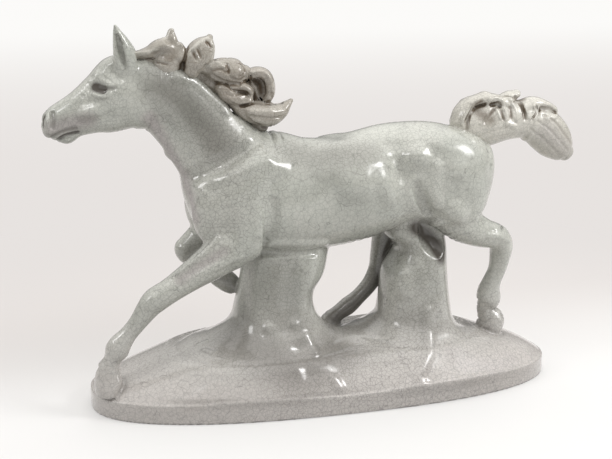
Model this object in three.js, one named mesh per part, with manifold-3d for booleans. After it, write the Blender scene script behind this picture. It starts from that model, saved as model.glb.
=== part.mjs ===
// A glazed ceramic figure of a running horse on an oval plinth.
// Millimetres, +Z up. The origin is the middle of the plinth's underside, the head is towards -X,
// and the horse's left side faces -Y. Plinth, supports, barrel, neck and head are hollow castings;
// legs, ears, mane and tail are solid, and every piece is luted to its neighbour along a thin joint.
import * as THREE from 'three';
import { mergeVertices } from 'three/addons/utils/BufferGeometryUtils.js';
import Module from 'manifold-3d';

const wasm = await Module();
wasm.setup();

// Walls, holes and joints of the castings
const casting_wall = 5;
const plinth_wall = 6;
const joint_gap = 0.3;
const vent_bore = 3.5;
const drain_bore = 14;
const neck_drain_bore = 18;
const bore_overrun = 1;

// Plinth
const plinth_length = 364;
const plinth_width = 134;
const plinth_side = 15;
const plinth_crown = 22;
const plinth_edge = 1.2;
const oval_power = 2.4;
const crown_power = 6;
const vent_from_middle = 62;

// Barrel: how high its middle line runs, and where its chest stands along the plinth
const body_height = 160;
const chest_x = -104;
const barrel_length = 237;
const barrel_width = 74;
const barrel_depth = 96;
const shoulder_length = 46;
const shoulder_height = 76;
const shoulder_bulge = 1;
const haunch_length = 54;
const haunch_height = 72;
const haunch_bulge = 2;
const rib_length = 76;
const rib_height = 66;
const rib_bulge = 2;
const breast_set_in = 5;
const croup_set_in = 2.5;

// Neck and head
const neck_reach = 68;
const neck_rise = 74;
const neck_depth = 84;
const neck_width = 60;
const head_length = 84;
const head_depth = 51;
const head_width = 31;
const head_dip = 20.5;
const ear_length = 30;
const ear_spread = 9;
const ear_stagger = 6;

// Supports under the chest and under the flank
const front_support_x = -43;
const front_support_length = 148;
const front_support_width = 98;
const rear_support_x = 73;
const rear_support_length = 122;
const rear_support_width = 94;
const drape_height = 45;
const belly_seat = 10;

// Where the hooves stand, and how far the folded foreleg and the hind legs lie from the middle
const foreleg_depth = 38;
const foreleg_width = 26;
const hind_leg_depth = 52;
const hind_leg_width = 30;
const hoof_radius = 9.5;
const hoof_height = 14;
const left_fore_hoof_x = -169;
const left_hind_hoof_x = 138;
const right_hind_hoof_x = 8;
const left_fore_out = 22;
const left_hind_out = 6;
const right_hind_out = 20;
const right_fore_out = 20;
const forearm_reach = 33;
const knee_drop = 18;
const folded_cannon_length = 46;
const folded_hoof_in = 5;
const cannon_sag = 2;
const sole_sink = 2;

// Tail and mane
const tail_length = 92;
const tail_depth = 37;
const tail_width = 27;
const mane_out = 4;
const lock_size = 20;

// How finely round forms are faceted
const sides = 16;
const fine_sides = 36;

const glaze = { color: 0xafb2aa, roughness: 0.16, metalness: 0 };
const stained_glaze = { color: 0x978d7e, roughness: 0.2, metalness: 0 };

// Solids: closed meshes with merged corners, joined and cut by manifold
function bareMerged(geometry) {
  const bare = geometry.clone();
  bare.deleteAttribute('normal');
  bare.deleteAttribute('uv');
  return mergeVertices(bare, 1e-4);
}

function solid(geometry) {
  const merged = bareMerged(geometry);
  const mesh = new wasm.Mesh({
    numProp: 3,
    vertProperties: new Float32Array(merged.attributes.position.array),
    triVerts: new Uint32Array(merged.index.array),
  });
  return new wasm.Manifold(mesh);
}

function largest(body) {
  const bodies = body.decompose();
  bodies.sort((one, other) => other.volume() - one.volume());
  return bodies[0];
}

function geometryOf(body) {
  const mesh = body.getMesh();
  const geometry = new THREE.BufferGeometry();
  geometry.setAttribute('position', new THREE.BufferAttribute(new Float32Array(mesh.vertProperties), 3));
  geometry.setIndex(new THREE.BufferAttribute(new Uint32Array(mesh.triVerts), 1));
  geometry.computeVertexNormals();
  return geometry;
}

// A closed skin over a row of rings with equal point counts, closed by a fan at each end
function skin(rings, firstTip, lastTip) {
  const count = rings[0].length;
  const points = rings.flat();
  const firstIndex = points.push(firstTip) - 1;
  const lastIndex = points.push(lastTip) - 1;
  const faces = [];
  for (let row = 0; row < rings.length - 1; row += 1) {
    for (let column = 0; column < count; column += 1) {
      const next = (column + 1) % count;
      const a = row * count + column;
      const b = row * count + next;
      faces.push(a, b, b + count, a, b + count, a + count);
    }
  }
  const end = (rings.length - 1) * count;
  for (let column = 0; column < count; column += 1) {
    const next = (column + 1) % count;
    faces.push(firstIndex, next, column);
    faces.push(lastIndex, end + column, end + next);
  }
  const geometry = new THREE.BufferGeometry();
  geometry.setAttribute('position', new THREE.Float32BufferAttribute(points.flatMap((p) => p.toArray()), 3));
  geometry.setIndex(faces);
  return geometry;
}

// Moves every corner of a closed smooth skin along its normal
function swollen(geometry, distance) {
  const grown = bareMerged(geometry);
  grown.computeVertexNormals();
  const position = grown.attributes.position;
  const normal = grown.attributes.normal;
  for (let index = 0; index < position.count; index += 1) {
    position.setXYZ(
      index,
      position.getX(index) + normal.getX(index) * distance,
      position.getY(index) + normal.getY(index) * distance,
      position.getZ(index) + normal.getZ(index) * distance,
    );
  }
  return grown;
}

// Stations are { x, y, z, deep, wide, lean }: deep lies in the plane of the figure, wide across it,
// and lean makes a section broader towards the side that its normal points to.
function smoothStations(stations, steps) {
  const middles = stations.map((s) => new THREE.Vector3(s.x, s.y, s.z));
  const extents = stations.map((s) => new THREE.Vector3(s.deep, s.wide, s.lean ?? 0));
  const spine = new THREE.CatmullRomCurve3(middles, false, 'catmullrom');
  const sizes = new THREE.CatmullRomCurve3(extents, false, 'catmullrom');
  const count = (stations.length - 1) * steps;
  const rows = [];
  for (let index = 0; index <= count; index += 1) {
    const middle = spine.getPoint(index / count);
    const size = sizes.getPoint(index / count);
    rows.push({ middle, deep: size.x, wide: size.y, lean: size.z });
  }
  return rows;
}

function sectionRing(middle, along, row, scale, power, count) {
  const across = new THREE.Vector3(0, 1, 0).addScaledVector(along, -along.y).normalize();
  const normal = along.clone().cross(across);
  const ring = [];
  for (let index = 0; index < count; index += 1) {
    const angle = (index / count) * 2 * Math.PI;
    const c = Math.sign(Math.cos(angle)) * Math.abs(Math.cos(angle)) ** (2 / power);
    const s = Math.sign(Math.sin(angle)) * Math.abs(Math.sin(angle)) ** (2 / power);
    const point = middle.clone();
    point.addScaledVector(across, c * row.wide * scale * (1 + row.lean * s));
    point.addScaledVector(normal, s * row.deep * scale);
    ring.push(point);
  }
  return ring;
}

// A smooth limb through its stations, with round ends of the given lengths
function loft(stations, { startCap = 0, endCap = 0, power = 2, count = sides, steps = 1 } = {}) {
  const cap_angles = [65, 35];
  const rows = smoothStations(stations, steps);
  const rings = [];
  rows.forEach((row, index) => {
    const before = rows[Math.max(index - 1, 0)].middle;
    const after = rows[Math.min(index + 1, rows.length - 1)].middle;
    row.along = after.clone().sub(before).normalize();
  });
  const first = rows[0];
  const last = rows[rows.length - 1];
  if (startCap > 0) {
    cap_angles.forEach((angle) => {
      const turn = THREE.MathUtils.degToRad(angle);
      const middle = first.middle.clone().addScaledVector(first.along, -startCap * Math.sin(turn));
      rings.push(sectionRing(middle, first.along, first, Math.cos(turn), power, count));
    });
  }
  rows.forEach((row) => rings.push(sectionRing(row.middle, row.along, row, 1, power, count)));
  if (endCap > 0) {
    [...cap_angles].reverse().forEach((angle) => {
      const turn = THREE.MathUtils.degToRad(angle);
      const middle = last.middle.clone().addScaledVector(last.along, endCap * Math.sin(turn));
      rings.push(sectionRing(middle, last.along, last, Math.cos(turn), power, count));
    });
  }
  const firstTip = first.middle.clone().addScaledVector(first.along, -startCap);
  const lastTip = last.middle.clone().addScaledVector(last.along, endCap);
  return skin(rings, firstTip, lastTip);
}

function ellipsoid(middle, radii, tilt = 0, count = sides) {
  const geometry = new THREE.SphereGeometry(1, count, Math.round(count / 2));
  geometry.scale(...radii);
  geometry.rotateY(THREE.MathUtils.degToRad(tilt));
  geometry.translate(...middle);
  return geometry;
}

// The skins of a casting's outer form, one or more overlapping, joined; grown by a gap for cutting others
function joined(geometries, grow = 0) {
  return geometries
    .map((geometry) => solid(grow === 0 ? geometry : swollen(geometry, grow)))
    .reduce((whole, next) => whole.add(next));
}

function boreBetween(from, to, bore) {
  const start = new THREE.Vector3(...from);
  const end = new THREE.Vector3(...to);
  const rod = new THREE.CylinderGeometry(bore / 2, bore / 2, start.distanceTo(end), 16);
  rod.applyQuaternion(
    new THREE.Quaternion().setFromUnitVectors(new THREE.Vector3(0, 1, 0), end.clone().sub(start).normalize()),
  );
  rod.translate(...start.add(end).multiplyScalar(0.5).toArray());
  return solid(rod);
}

// Plinth: an oval with upright sides, a domed top and a flat underside
function ovalRing(share, inset, height) {
  const ring = [];
  for (let index = 0; index < fine_sides; index += 1) {
    const angle = (index / fine_sides) * 2 * Math.PI;
    const c = Math.sign(Math.cos(angle)) * Math.abs(Math.cos(angle)) ** (2 / oval_power);
    const s = Math.sign(Math.sin(angle)) * Math.abs(Math.sin(angle)) ** (2 / oval_power);
    const x = c * (plinth_length / 2 - inset) * share;
    const y = s * (plinth_width / 2 - inset) * share;
    ring.push(new THREE.Vector3(x, y, height));
  }
  return ring;
}

function crownHeight(share) {
  return plinth_side + plinth_crown * (1 - share ** crown_power);
}

function plinthTop(x, y) {
  const along = Math.abs(x / (plinth_length / 2 - plinth_edge)) ** oval_power;
  const across = Math.abs(y / (plinth_width / 2 - plinth_edge)) ** oval_power;
  return crownHeight(Math.min((along + across) ** (1 / oval_power), 1));
}

const crown_shares = [1, 0.97, 0.93, 0.86, 0.74, 0.5];

function plinthSkin() {
  const rings = [
    ovalRing(1, plinth_edge, 0),
    ovalRing(1, 0, plinth_edge),
    ovalRing(1, 0, plinth_side - plinth_edge),
    ...crown_shares.map((share) => ovalRing(share, plinth_edge, crownHeight(share))),
  ];
  return skin(rings, new THREE.Vector3(0, 0, 0), new THREE.Vector3(0, 0, crownHeight(0)));
}

function plinthHollow() {
  const inner_shares = [0.94, 0.82, 0.6, 0.3];
  const rings = [
    ovalRing(1, plinth_wall, plinth_wall),
    ...inner_shares.map((share) => ovalRing(share, plinth_wall, crownHeight(share) - plinth_wall)),
  ];
  const floor = new THREE.Vector3(0, 0, plinth_wall);
  return skin(rings, floor, new THREE.Vector3(0, 0, crownHeight(0) - plinth_wall));
}

// Barrel: sections from the chest to the rump, as shares of its length, depth and width. low and high
// are counted from the middle line.
const barrel_sections = [
  { at: 0.035, low: -0.385, high: 0.198, wide: 0.62 },
  { at: 0.08, low: -0.458, high: 0.312, wide: 0.78 },
  { at: 0.144, low: -0.5, high: 0.417, wide: 0.9 },
  { at: 0.232, low: -0.5, high: 0.479, wide: 0.96 },
  { at: 0.354, low: -0.51, high: 0.38, wide: 0.99 },
  { at: 0.49, low: -0.479, high: 0.37, wide: 0.98 },
  { at: 0.59, low: -0.415, high: 0.43, wide: 0.92 },
  { at: 0.66, low: -0.375, high: 0.465, wide: 0.84 },
  { at: 0.76, low: -0.344, high: 0.469, wide: 0.9 },
  { at: 0.84, low: -0.312, high: 0.438, wide: 0.9 },
  { at: 0.9, low: -0.271, high: 0.396, wide: 0.86 },
  { at: 0.95, low: -0.229, high: 0.312, wide: 0.66 },
];
const chest_round = 0.083 * barrel_depth;
const rump_round = 0.125 * barrel_depth;
const barrel_lean = -0.06;
const barrel_power = 2.2;

function barrelX(share) {
  return chest_x + share * barrel_length;
}

function barrelStations(inset) {
  return barrel_sections.map((section) => ({
    x: barrelX(section.at),
    y: 0,
    z: body_height + ((section.low + section.high) / 2) * barrel_depth,
    deep: ((section.high - section.low) / 2) * barrel_depth - inset,
    wide: (section.wide * barrel_width) / 2 - inset,
    lean: barrel_lean,
  }));
}

// Muscles are ellipsoids that reach beyond the barrel's widest line, or stop short of it, by their bulge
const muscles = {
  shoulder: { at: 0.144, down: 0, thick: 0.236, tilt: 34 },
  breast: { at: 0.061, down: 0.125, thick: 0.203, tilt: 0 },
  ribs: { at: 0.502, down: -0.021, thick: 0.311, tilt: 10 },
  haunch: { at: 0.848, down: 0, thick: 0.277, tilt: -10 },
  croup: { at: 0.793, down: -0.219, thick: 0.236, tilt: 8 },
};

function bulgeForm(name, side, length, height, bulge) {
  const muscle = muscles[name];
  const thick = muscle.thick * barrel_width;
  const middle_y = barrel_width / 2 + bulge - thick;
  return ellipsoid(
    [barrelX(muscle.at), side * middle_y, body_height - muscle.down * barrel_depth],
    [length / 2, thick, height / 2],
    muscle.tilt,
    12,
  );
}

// The height of the belly above a place on the plinth
function bellyAt(x) {
  const share = (x - chest_x) / barrel_length;
  const after = barrel_sections.findIndex((section) => section.at >= share);
  const one = barrel_sections[after - 1];
  const other = barrel_sections[after];
  const low = one.low + ((share - one.at) / (other.at - one.at)) * (other.low - one.low);
  return body_height + low * barrel_depth;
}

function barrelForms() {
  const trunk = { startCap: chest_round, endCap: rump_round, power: barrel_power, count: 18 };
  const forms = [loft(barrelStations(0), trunk)];
  for (const side of [-1, 1]) {
    forms.push(bulgeForm('shoulder', side, shoulder_length, shoulder_height, shoulder_bulge));
    forms.push(bulgeForm('breast', side, 0.67 * shoulder_length, 0.68 * shoulder_height, -breast_set_in));
    forms.push(bulgeForm('ribs', side, rib_length, rib_height, rib_bulge));
    forms.push(bulgeForm('haunch', side, haunch_length, haunch_height, haunch_bulge));
    forms.push(bulgeForm('croup', side, 1.1 * haunch_length, 0.53 * haunch_height, -croup_set_in));
  }
  return forms;
}

// Neck: from inside the chest up to the poll
const withers_share = 0.16;
const neck_foot = { x: barrelX(withers_share), z: body_height + 0.02 * barrel_depth };
const poll = { x: neck_foot.x - neck_reach, z: neck_foot.z + neck_rise };

const neck_sections = [
  { along: 0, up: 0, deep: 1, wide: 1 },
  { along: 0.12, up: 0.17, deep: 0.929, wide: 0.933 },
  { along: 0.26, up: 0.38, deep: 0.774, wide: 0.8 },
  { along: 0.42, up: 0.56, deep: 0.702, wide: 0.667 },
  { along: 0.57, up: 0.71, deep: 0.643, wide: 0.583 },
  { along: 0.71, up: 0.84, deep: 0.619, wide: 0.533 },
  { along: 0.86, up: 0.93, deep: 0.607, wide: 0.5 },
  { along: 1, up: 0.96, deep: 0.571, wide: 0.467 },
];

function neckStations(inset) {
  return neck_sections.map((section) => ({
    x: neck_foot.x - section.along * (neck_foot.x - poll.x),
    y: 0,
    z: neck_foot.z + section.up * (poll.z - neck_foot.z),
    deep: (section.deep * neck_depth) / 2 - inset,
    wide: (section.wide * neck_width) / 2 - inset,
  }));
}

// A point on the mane side of the neck, at a share of the way from withers to poll
function crest(share) {
  const rows = smoothStations(neckStations(0), 8);
  const index = THREE.MathUtils.clamp(Math.round(share * (rows.length - 1)), 1, rows.length - 2);
  const along = rows[index + 1].middle.clone().sub(rows[index - 1].middle).normalize();
  const outward = new THREE.Vector3(0, 1, 0).cross(along);
  return rows[index].middle.clone().addScaledVector(outward, rows[index].deep);
}

// Head: sections from the poll to the muzzle along a line that dips forwards
const head_sections = [
  { at: 0.02, off: -0.039, deep: 0.863, wide: 0.839 },
  { at: 0.14, off: 0, deep: 1, wide: 0.968 },
  { at: 0.27, off: 0.039, deep: 0.98, wide: 1 },
  { at: 0.4, off: 0, deep: 0.843, wide: 0.935 },
  { at: 0.53, off: 0.02, deep: 0.725, wide: 0.806 },
  { at: 0.66, off: 0, deep: 0.588, wide: 0.677 },
  { at: 0.79, off: 0, deep: 0.482, wide: 0.606 },
  { at: 0.9, off: 0, deep: 0.392, wide: 0.581 },
];

// A point at a share of the head's length, and off its middle line by a share of half its depth
const head_back = 0.06 * head_length;
const head_lift = 0.035 * head_length;

function headPoint(share, off) {
  const dip = THREE.MathUtils.degToRad(head_dip);
  return {
    x: poll.x + head_back - share * head_length * Math.cos(dip) - off * (head_depth / 2) * Math.sin(dip),
    z: poll.z + head_lift - share * head_length * Math.sin(dip) + off * (head_depth / 2) * Math.cos(dip),
  };
}

function headStations(inset) {
  return head_sections.map((section) => ({
    ...headPoint(section.at, section.off),
    y: 0,
    deep: (section.deep * head_depth) / 2 - inset,
    wide: (section.wide * head_width) / 2 - inset,
  }));
}

const radiiOf = (shares) => shares.map((share) => (share * head_depth) / 2);

function headForms() {
  const lip = headPoint(0.79, -0.53);
  const brow = headPoint(0.3, 0.55);
  const lip_radii = radiiOf([0.35, 0.235, 0.195]);
  const brow_radii = radiiOf([0.59, 0.51, 0.315]);
  return [
    loft(headStations(0), { startCap: 0.16 * head_depth, endCap: 0.12 * head_depth, power: 2.3 }),
    ellipsoid([lip.x, 0, lip.z], lip_radii, -12, 12),
    ellipsoid([brow.x, 0, brow.z], brow_radii, -head_dip, 12),
  ];
}

function headHollows() {
  const eye = { ...headPoint(0.34, 0.2), out: 1.13, radii: radiiOf([0.235, 0.157, 0.125]), tilt: -12 };
  const nostril = { ...headPoint(0.93, 0.04), out: 0.555, radii: radiiOf([0.078, 0.094, 0.176]), tilt: 18 };
  const hollows = [];
  for (const side of [-1, 1]) {
    for (const dent of [eye, nostril]) {
      const y = side * dent.out * (head_width / 2);
      hollows.push(ellipsoid([dent.x, y, dent.z], dent.radii, dent.tilt, 10));
    }
  }
  return hollows;
}

// Ears: pointed leaves with a scooped front
function earForm(side) {
  const root = headPoint(0.13, 0.7);
  const back = side > 0 ? ear_stagger : 0;
  const at = (share, forward) => ({
    x: root.x + back - forward * ear_length,
    y: side * (ear_spread + 0.07 * share * ear_length),
    z: root.z + share * ear_length,
  });
  const sections = [
    { ...at(0, 0.067), deep: 0.267, wide: 0.183 },
    { ...at(0.35, 0.117), deep: 0.26, wide: 0.2 },
    { ...at(0.65, 0.183), deep: 0.18, wide: 0.153 },
    { ...at(0.86, 0.25), deep: 0.093, wide: 0.087 },
  ].map((section) => ({ ...section, deep: section.deep * ear_length, wide: section.wide * ear_length }));
  const leaf = loft(sections, { endCap: 0.13 * ear_length, count: 10 });
  const hollow = at(0.45, 0.333);
  const scoop_radii = [0.167, 0.12, 0.3].map((share) => share * ear_length);
  const scoop = ellipsoid([hollow.x, hollow.y + 0.033 * side * ear_length, hollow.z], scoop_radii, 12, 10);
  return { leaf, scoop };
}

// Legs: each starts at a seat inside the barrel, in from its side by a share of its width and down
// from its middle line by a share of its depth. Its sections lie at shares of the way from that seat
// to the hoof, and are as deep and wide as shares of the leg's depth and width.
const seats = {
  left_foreleg: { at: 0.16, in: 0.19, down: 0.344 },
  right_foreleg: { at: 0.14, in: 0.19, down: 0.333 },
  left_hind_leg: { at: 0.86, in: 0.23, down: 0.229 },
  right_hind_leg: { at: 0.745, in: 0.176, down: 0.229 },
};

function seatOf(name, side) {
  const seat = seats[name];
  return {
    x: barrelX(seat.at),
    y: side * (0.5 - seat.in) * barrel_width,
    z: body_height - seat.down * barrel_depth,
  };
}

function legStations(top, foot, sections, depth, width) {
  return sections.map((section) => ({
    x: top.x + section.along * (foot.x - top.x),
    y: top.y + section.out * (foot.y - top.y),
    z: top.z + section.down * (foot.z - top.z),
    deep: (section.deep * depth) / 2,
    wide: (section.wide * width) / 2,
  }));
}

// A hoof that narrows upwards, sunk into the plinth's top where it is cut back
function hoofForm(foot, { broad = 1, tall = 1, forward = 0.1 } = {}) {
  const radius = broad * hoof_radius;
  const sole = foot.z - sole_sink;
  return loft([
    { x: foot.x - forward * radius, y: foot.y, z: sole, deep: radius, wide: 0.95 * radius },
    { x: foot.x, y: foot.y, z: sole + tall * hoof_height, deep: 0.81 * radius, wide: 0.79 * radius },
  ], { endCap: 0.16 * radius, count: 12 });
}

function footOn(x, y) {
  return { x, y, z: plinthTop(x, y) };
}

function leftForeleg() {
  const top = seatOf('left_foreleg', -1);
  const foot = footOn(left_fore_hoof_x, -left_fore_out);
  const stations = legStations(top, foot, [
    { along: 0, down: 0, out: 0, deep: 1, wide: 1 },
    { along: 0.11, down: 0.07, out: 0.2, deep: 0.868, wide: 0.962 },
    { along: 0.25, down: 0.13, out: 0.4, deep: 0.763, wide: 0.923 },
    { along: 0.41, down: 0.22, out: 0.5, deep: 0.579, wide: 0.769 },
    { along: 0.57, down: 0.3, out: 0.5, deep: 0.553, wide: 0.692 },
    { along: 0.66, down: 0.38, out: 0.6, deep: 0.474, wide: 0.615 },
    { along: 0.73, down: 0.46, out: 0.7, deep: 0.368, wide: 0.5 },
    { along: 0.83, down: 0.57, out: 0.8, deep: 0.358, wide: 0.477 },
    { along: 0.9, down: 0.66, out: 0.9, deep: 0.4, wide: 0.538 },
    { along: 0.955, down: 0.745, out: 1, deep: 0.453, wide: 0.585 },
    { along: 1, down: 0.83, out: 1, deep: 0.368, wide: 0.523 },
    { along: 1, down: 0.92, out: 1, deep: 0.421, wide: 0.615 },
  ], foreleg_depth, foreleg_width);
  return [
    loft(stations, { startCap: 0.2 * foreleg_depth, endCap: 0.05 * foreleg_depth, count: 12 }),
    hoofForm(foot),
  ];
}

function leftHindLeg() {
  const top = seatOf('left_hind_leg', -1);
  const foot = footOn(left_hind_hoof_x, -left_hind_out);
  const stations = legStations(top, foot, [
    { along: 0, down: 0, out: 0, deep: 0.923, wide: 1 },
    { along: 0.22, down: 0.125, out: 0, deep: 0.673, wide: 0.933 },
    { along: 0.53, down: 0.18, out: 0.05, deep: 0.481, wide: 0.767 },
    { along: 0.82, down: 0.207, out: 0.15, deep: 0.442, wide: 0.7 },
    { along: 1, down: 0.27, out: 0.3, deep: 0.423, wide: 0.633 },
    { along: 1, down: 0.39, out: 0.45, deep: 0.358, wide: 0.5 },
    { along: 0.95, down: 0.51, out: 0.6, deep: 0.281, wide: 0.433 },
    { along: 0.9, down: 0.625, out: 0.75, deep: 0.285, wide: 0.433 },
    { along: 0.86, down: 0.73, out: 0.85, deep: 0.358, wide: 0.533 },
    { along: 0.87, down: 0.82, out: 0.95, deep: 0.285, wide: 0.467 },
    { along: 0.98, down: 0.91, out: 1, deep: 0.346, wide: 0.567 },
  ], hind_leg_depth, hind_leg_width);
  return [
    loft(stations, { startCap: 0.2 * hind_leg_depth, endCap: 0.04 * hind_leg_depth, count: 12 }),
    hoofForm(foot, { broad: 1.16, tall: 0.93, forward: 0 }),
  ];
}

function rightHindLeg() {
  const top = seatOf('right_hind_leg', 1);
  const foot = footOn(right_hind_hoof_x, right_hind_out);
  const stations = legStations(top, foot, [
    { along: 0, down: 0, out: 0, deep: 1, wide: 0.933 },
    { along: 0.14, down: 0.2, out: 0.1, deep: 0.769, wide: 0.867 },
    { along: 0.23, down: 0.35, out: 0.3, deep: 0.481, wide: 0.733 },
    { along: 0.25, down: 0.5, out: 0.5, deep: 0.346, wide: 0.6 },
    { along: 0.36, down: 0.66, out: 0.7, deep: 0.308, wide: 0.533 },
    { along: 0.53, down: 0.78, out: 0.85, deep: 0.281, wide: 0.467 },
    { along: 0.7, down: 0.86, out: 0.95, deep: 0.281, wide: 0.467 },
    { along: 0.86, down: 0.916, out: 1, deep: 0.319, wide: 0.507 },
    { along: 0.97, down: 0.96, out: 1, deep: 0.308, wide: 0.493 },
  ], hind_leg_depth, hind_leg_width);
  return [
    loft(stations, { startCap: 0.2 * hind_leg_depth, endCap: 0.06 * hind_leg_depth, count: 12 }),
    hoofForm(foot, { tall: 0.79 }),
  ];
}

// The right foreleg is folded: forearm forwards to the knee, cannon back under it to the front support
function rightForeleg() {
  const elbow = seatOf('right_foreleg', 1);
  const knee = { x: elbow.x - forearm_reach, y: right_fore_out, z: elbow.z - knee_drop };
  const hoof_angle = THREE.MathUtils.degToRad(40);
  const hoof = {
    x: knee.x + folded_cannon_length * Math.cos(hoof_angle),
    y: right_fore_out - folded_hoof_in,
    z: knee.z - folded_cannon_length * Math.sin(hoof_angle),
  };
  const between = (share, drop) => ({
    x: THREE.MathUtils.lerp(knee.x, hoof.x, share),
    y: THREE.MathUtils.lerp(knee.y, hoof.y, share),
    z: THREE.MathUtils.lerp(knee.z, hoof.z, share) - drop,
  });
  const middle = { x: (elbow.x + knee.x) / 2, y: (elbow.y + knee.y) / 2, z: elbow.z - 0.4 * knee_drop };
  const sized = (sections) => sections.map((section) => ({
    ...section,
    deep: (section.deep * foreleg_depth) / 2,
    wide: (section.wide * foreleg_width) / 2,
  }));
  const forearm = loft(sized([
    { ...elbow, deep: 0.947, wide: 1 },
    { ...middle, deep: 0.737, wide: 0.923 },
    { ...knee, deep: 0.579, wide: 0.731 },
  ]), { startCap: 0.16 * foreleg_depth, endCap: 0.24 * foreleg_depth, count: 12, steps: 2 });
  const cannon = loft(sized([
    { ...between(0.05, 0), deep: 0.474, wide: 0.615 },
    { ...between(0.35, cannon_sag), deep: 0.358, wide: 0.5 },
    { ...between(0.65, cannon_sag), deep: 0.4, wide: 0.538 },
    { ...between(0.85, 0), deep: 0.453, wide: 0.6 },
    { ...hoof, deep: 0.4, wide: 0.569 },
  ]), { startCap: 0.13 * foreleg_depth, endCap: 0.1 * foreleg_depth, count: 12 });
  return [forearm, cannon];
}

// Supports: rock-like columns that spread at the foot and widen again under the belly
function supportStations(support, inset) {
  const foot_z = plinthTop(support.x, 0);
  const belly = bellyAt(support.x) + belly_seat;
  return support.sections.map((section) => ({
    x: support.x + section.shift * (support.length / 2),
    y: section.aside * (support.width / 2),
    z: foot_z + section.up * (belly - foot_z),
    deep: section.deep * (support.length / 2) - inset,
    wide: section.wide * (support.width / 2) - inset,
  }));
}

// Lets the spreading foot of a support follow the dome of the plinth
function draped(geometry, x) {
  const foot_z = plinthTop(x, 0);
  const position = geometry.attributes.position;
  for (let index = 0; index < position.count; index += 1) {
    const height = position.getZ(index) - foot_z;
    const share = THREE.MathUtils.clamp(1 - height / drape_height, 0, 1);
    const fall = foot_z - plinthTop(position.getX(index), position.getY(index));
    position.setZ(index, position.getZ(index) - fall * share);
  }
  return geometry;
}

const support_power = 2.1;

const front_support_sections = [
  { up: -0.05, shift: -0.1, aside: -0.061, deep: 1, wide: 1.02 },
  { up: 0.015, shift: -0.1, aside: -0.061, deep: 0.97, wide: 1.02 },
  { up: 0.05, shift: -0.095, aside: -0.061, deep: 0.85, wide: 0.95 },
  { up: 0.08, shift: -0.075, aside: -0.061, deep: 0.75, wide: 0.88 },
  { up: 0.12, shift: -0.03, aside: -0.061, deep: 0.65, wide: 0.81 },
  { up: 0.2, shift: 0.014, aside: -0.058, deep: 0.525, wide: 0.73 },
  { up: 0.29, shift: 0.02, aside: -0.05, deep: 0.445, wide: 0.67 },
  { up: 0.4, shift: 0.02, aside: -0.041, deep: 0.41, wide: 0.62 },
  { up: 0.52, shift: 0.045, aside: -0.041, deep: 0.4, wide: 0.59 },
  { up: 0.66, shift: 0.11, aside: -0.041, deep: 0.435, wide: 0.571 },
  { up: 0.84, shift: 0.14, aside: -0.02, deep: 0.455, wide: 0.551 },
  { up: 1, shift: 0.15, aside: 0, deep: 0.48, wide: 0.545 },
];

const rear_support_sections = [
  { up: -0.05, shift: -0.098, aside: -0.064, deep: 1, wide: 1 },
  { up: 0.015, shift: -0.098, aside: -0.064, deep: 1, wide: 1 },
  { up: 0.06, shift: -0.09, aside: -0.064, deep: 0.67, wide: 0.83 },
  { up: 0.15, shift: -0.03, aside: -0.064, deep: 0.51, wide: 0.71 },
  { up: 0.26, shift: -0.02, aside: -0.064, deep: 0.465, wide: 0.66 },
  { up: 0.4, shift: -0.025, aside: -0.064, deep: 0.44, wide: 0.62 },
  { up: 0.55, shift: -0.02, aside: -0.064, deep: 0.415, wide: 0.575 },
  { up: 0.72, shift: 0.05, aside: -0.045, deep: 0.33, wide: 0.53 },
  { up: 0.84, shift: -0.03, aside: -0.03, deep: 0.395, wide: 0.5 },
  { up: 1, shift: -0.02, aside: 0, deep: 0.41, wide: 0.489 },
];

// Mane locks: short thick flames along the crest. Each starts from a point at a share of the crest,
// and its sections are [along, up, deep, wide] from there, as shares of a lock's size.
const mane_locks = [
  {
    at: 0.85,
    points: [
      [-1.15, 0.25, 0.2, 0.35],
      [-0.6, 0.2, 0.325, 0.45],
      [-0.15, 0.4, 0.55, 0.45],
      [0.05, 0.75, 0.35, 0.375],
      [0.05, 1.1, 0.125, 0.175],
    ],
  },
  {
    at: 0.7,
    points: [
      [-0.1, 0.05, 0.45, 0.5],
      [0, 0.55, 0.575, 0.55],
      [0.2, 0.95, 0.475, 0.45],
      [0.4, 1.25, 0.25, 0.3],
    ],
  },
  {
    at: 0.55,
    points: [
      [-0.3, 0.6, 0.4, 0.45],
      [0.2, 0.7, 0.55, 0.55],
      [0.75, 0.75, 0.55, 0.55],
      [1.1, 0.8, 0.375, 0.425],
    ],
  },
  {
    at: 0.35,
    points: [
      [0.45, 1.25, 0.35, 0.4],
      [0.8, 1.2, 0.425, 0.5],
      [1.025, 0.85, 0.45, 0.475],
      [0.9, 0.4, 0.4, 0.4],
    ],
  },
  {
    at: 0.5,
    points: [
      [-0.1, 0.25, 0.35, 0.6],
      [0.45, 0.05, 0.55, 0.65],
      [0.95, -0.2, 0.55, 0.6],
      [1.3, -0.3, 0.45, 0.45],
    ],
  },
  {
    at: 0.25,
    points: [
      [-0.55, 0.8, 0.35, 0.55],
      [-0.05, 0.6, 0.525, 0.6],
      [0.45, 0.55, 0.525, 0.55],
      [0.85, 0.675, 0.325, 0.35],
      [1.15, 0.9, 0.15, 0.15],
    ],
  },
];

function maneForm(lock) {
  const root = crest(lock.at);
  const stations = lock.points.map(([along, up, deep, wide]) => ({
    x: root.x + along * lock_size,
    y: -mane_out,
    z: root.z + up * lock_size,
    deep: deep * lock_size,
    wide: wide * lock_size,
  }));
  return loft(stations, { startCap: 0.2 * lock_size, endCap: 0.125 * lock_size, count: 10, steps: 2 });
}

// Tail: a thick stem streaming back from the dock, with three locks on it and a drooping end
const dock_share = 0.915;
const dock_rise = 0.344 * barrel_depth;
const dock = { x: barrelX(dock_share), z: body_height + dock_rise };

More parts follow.
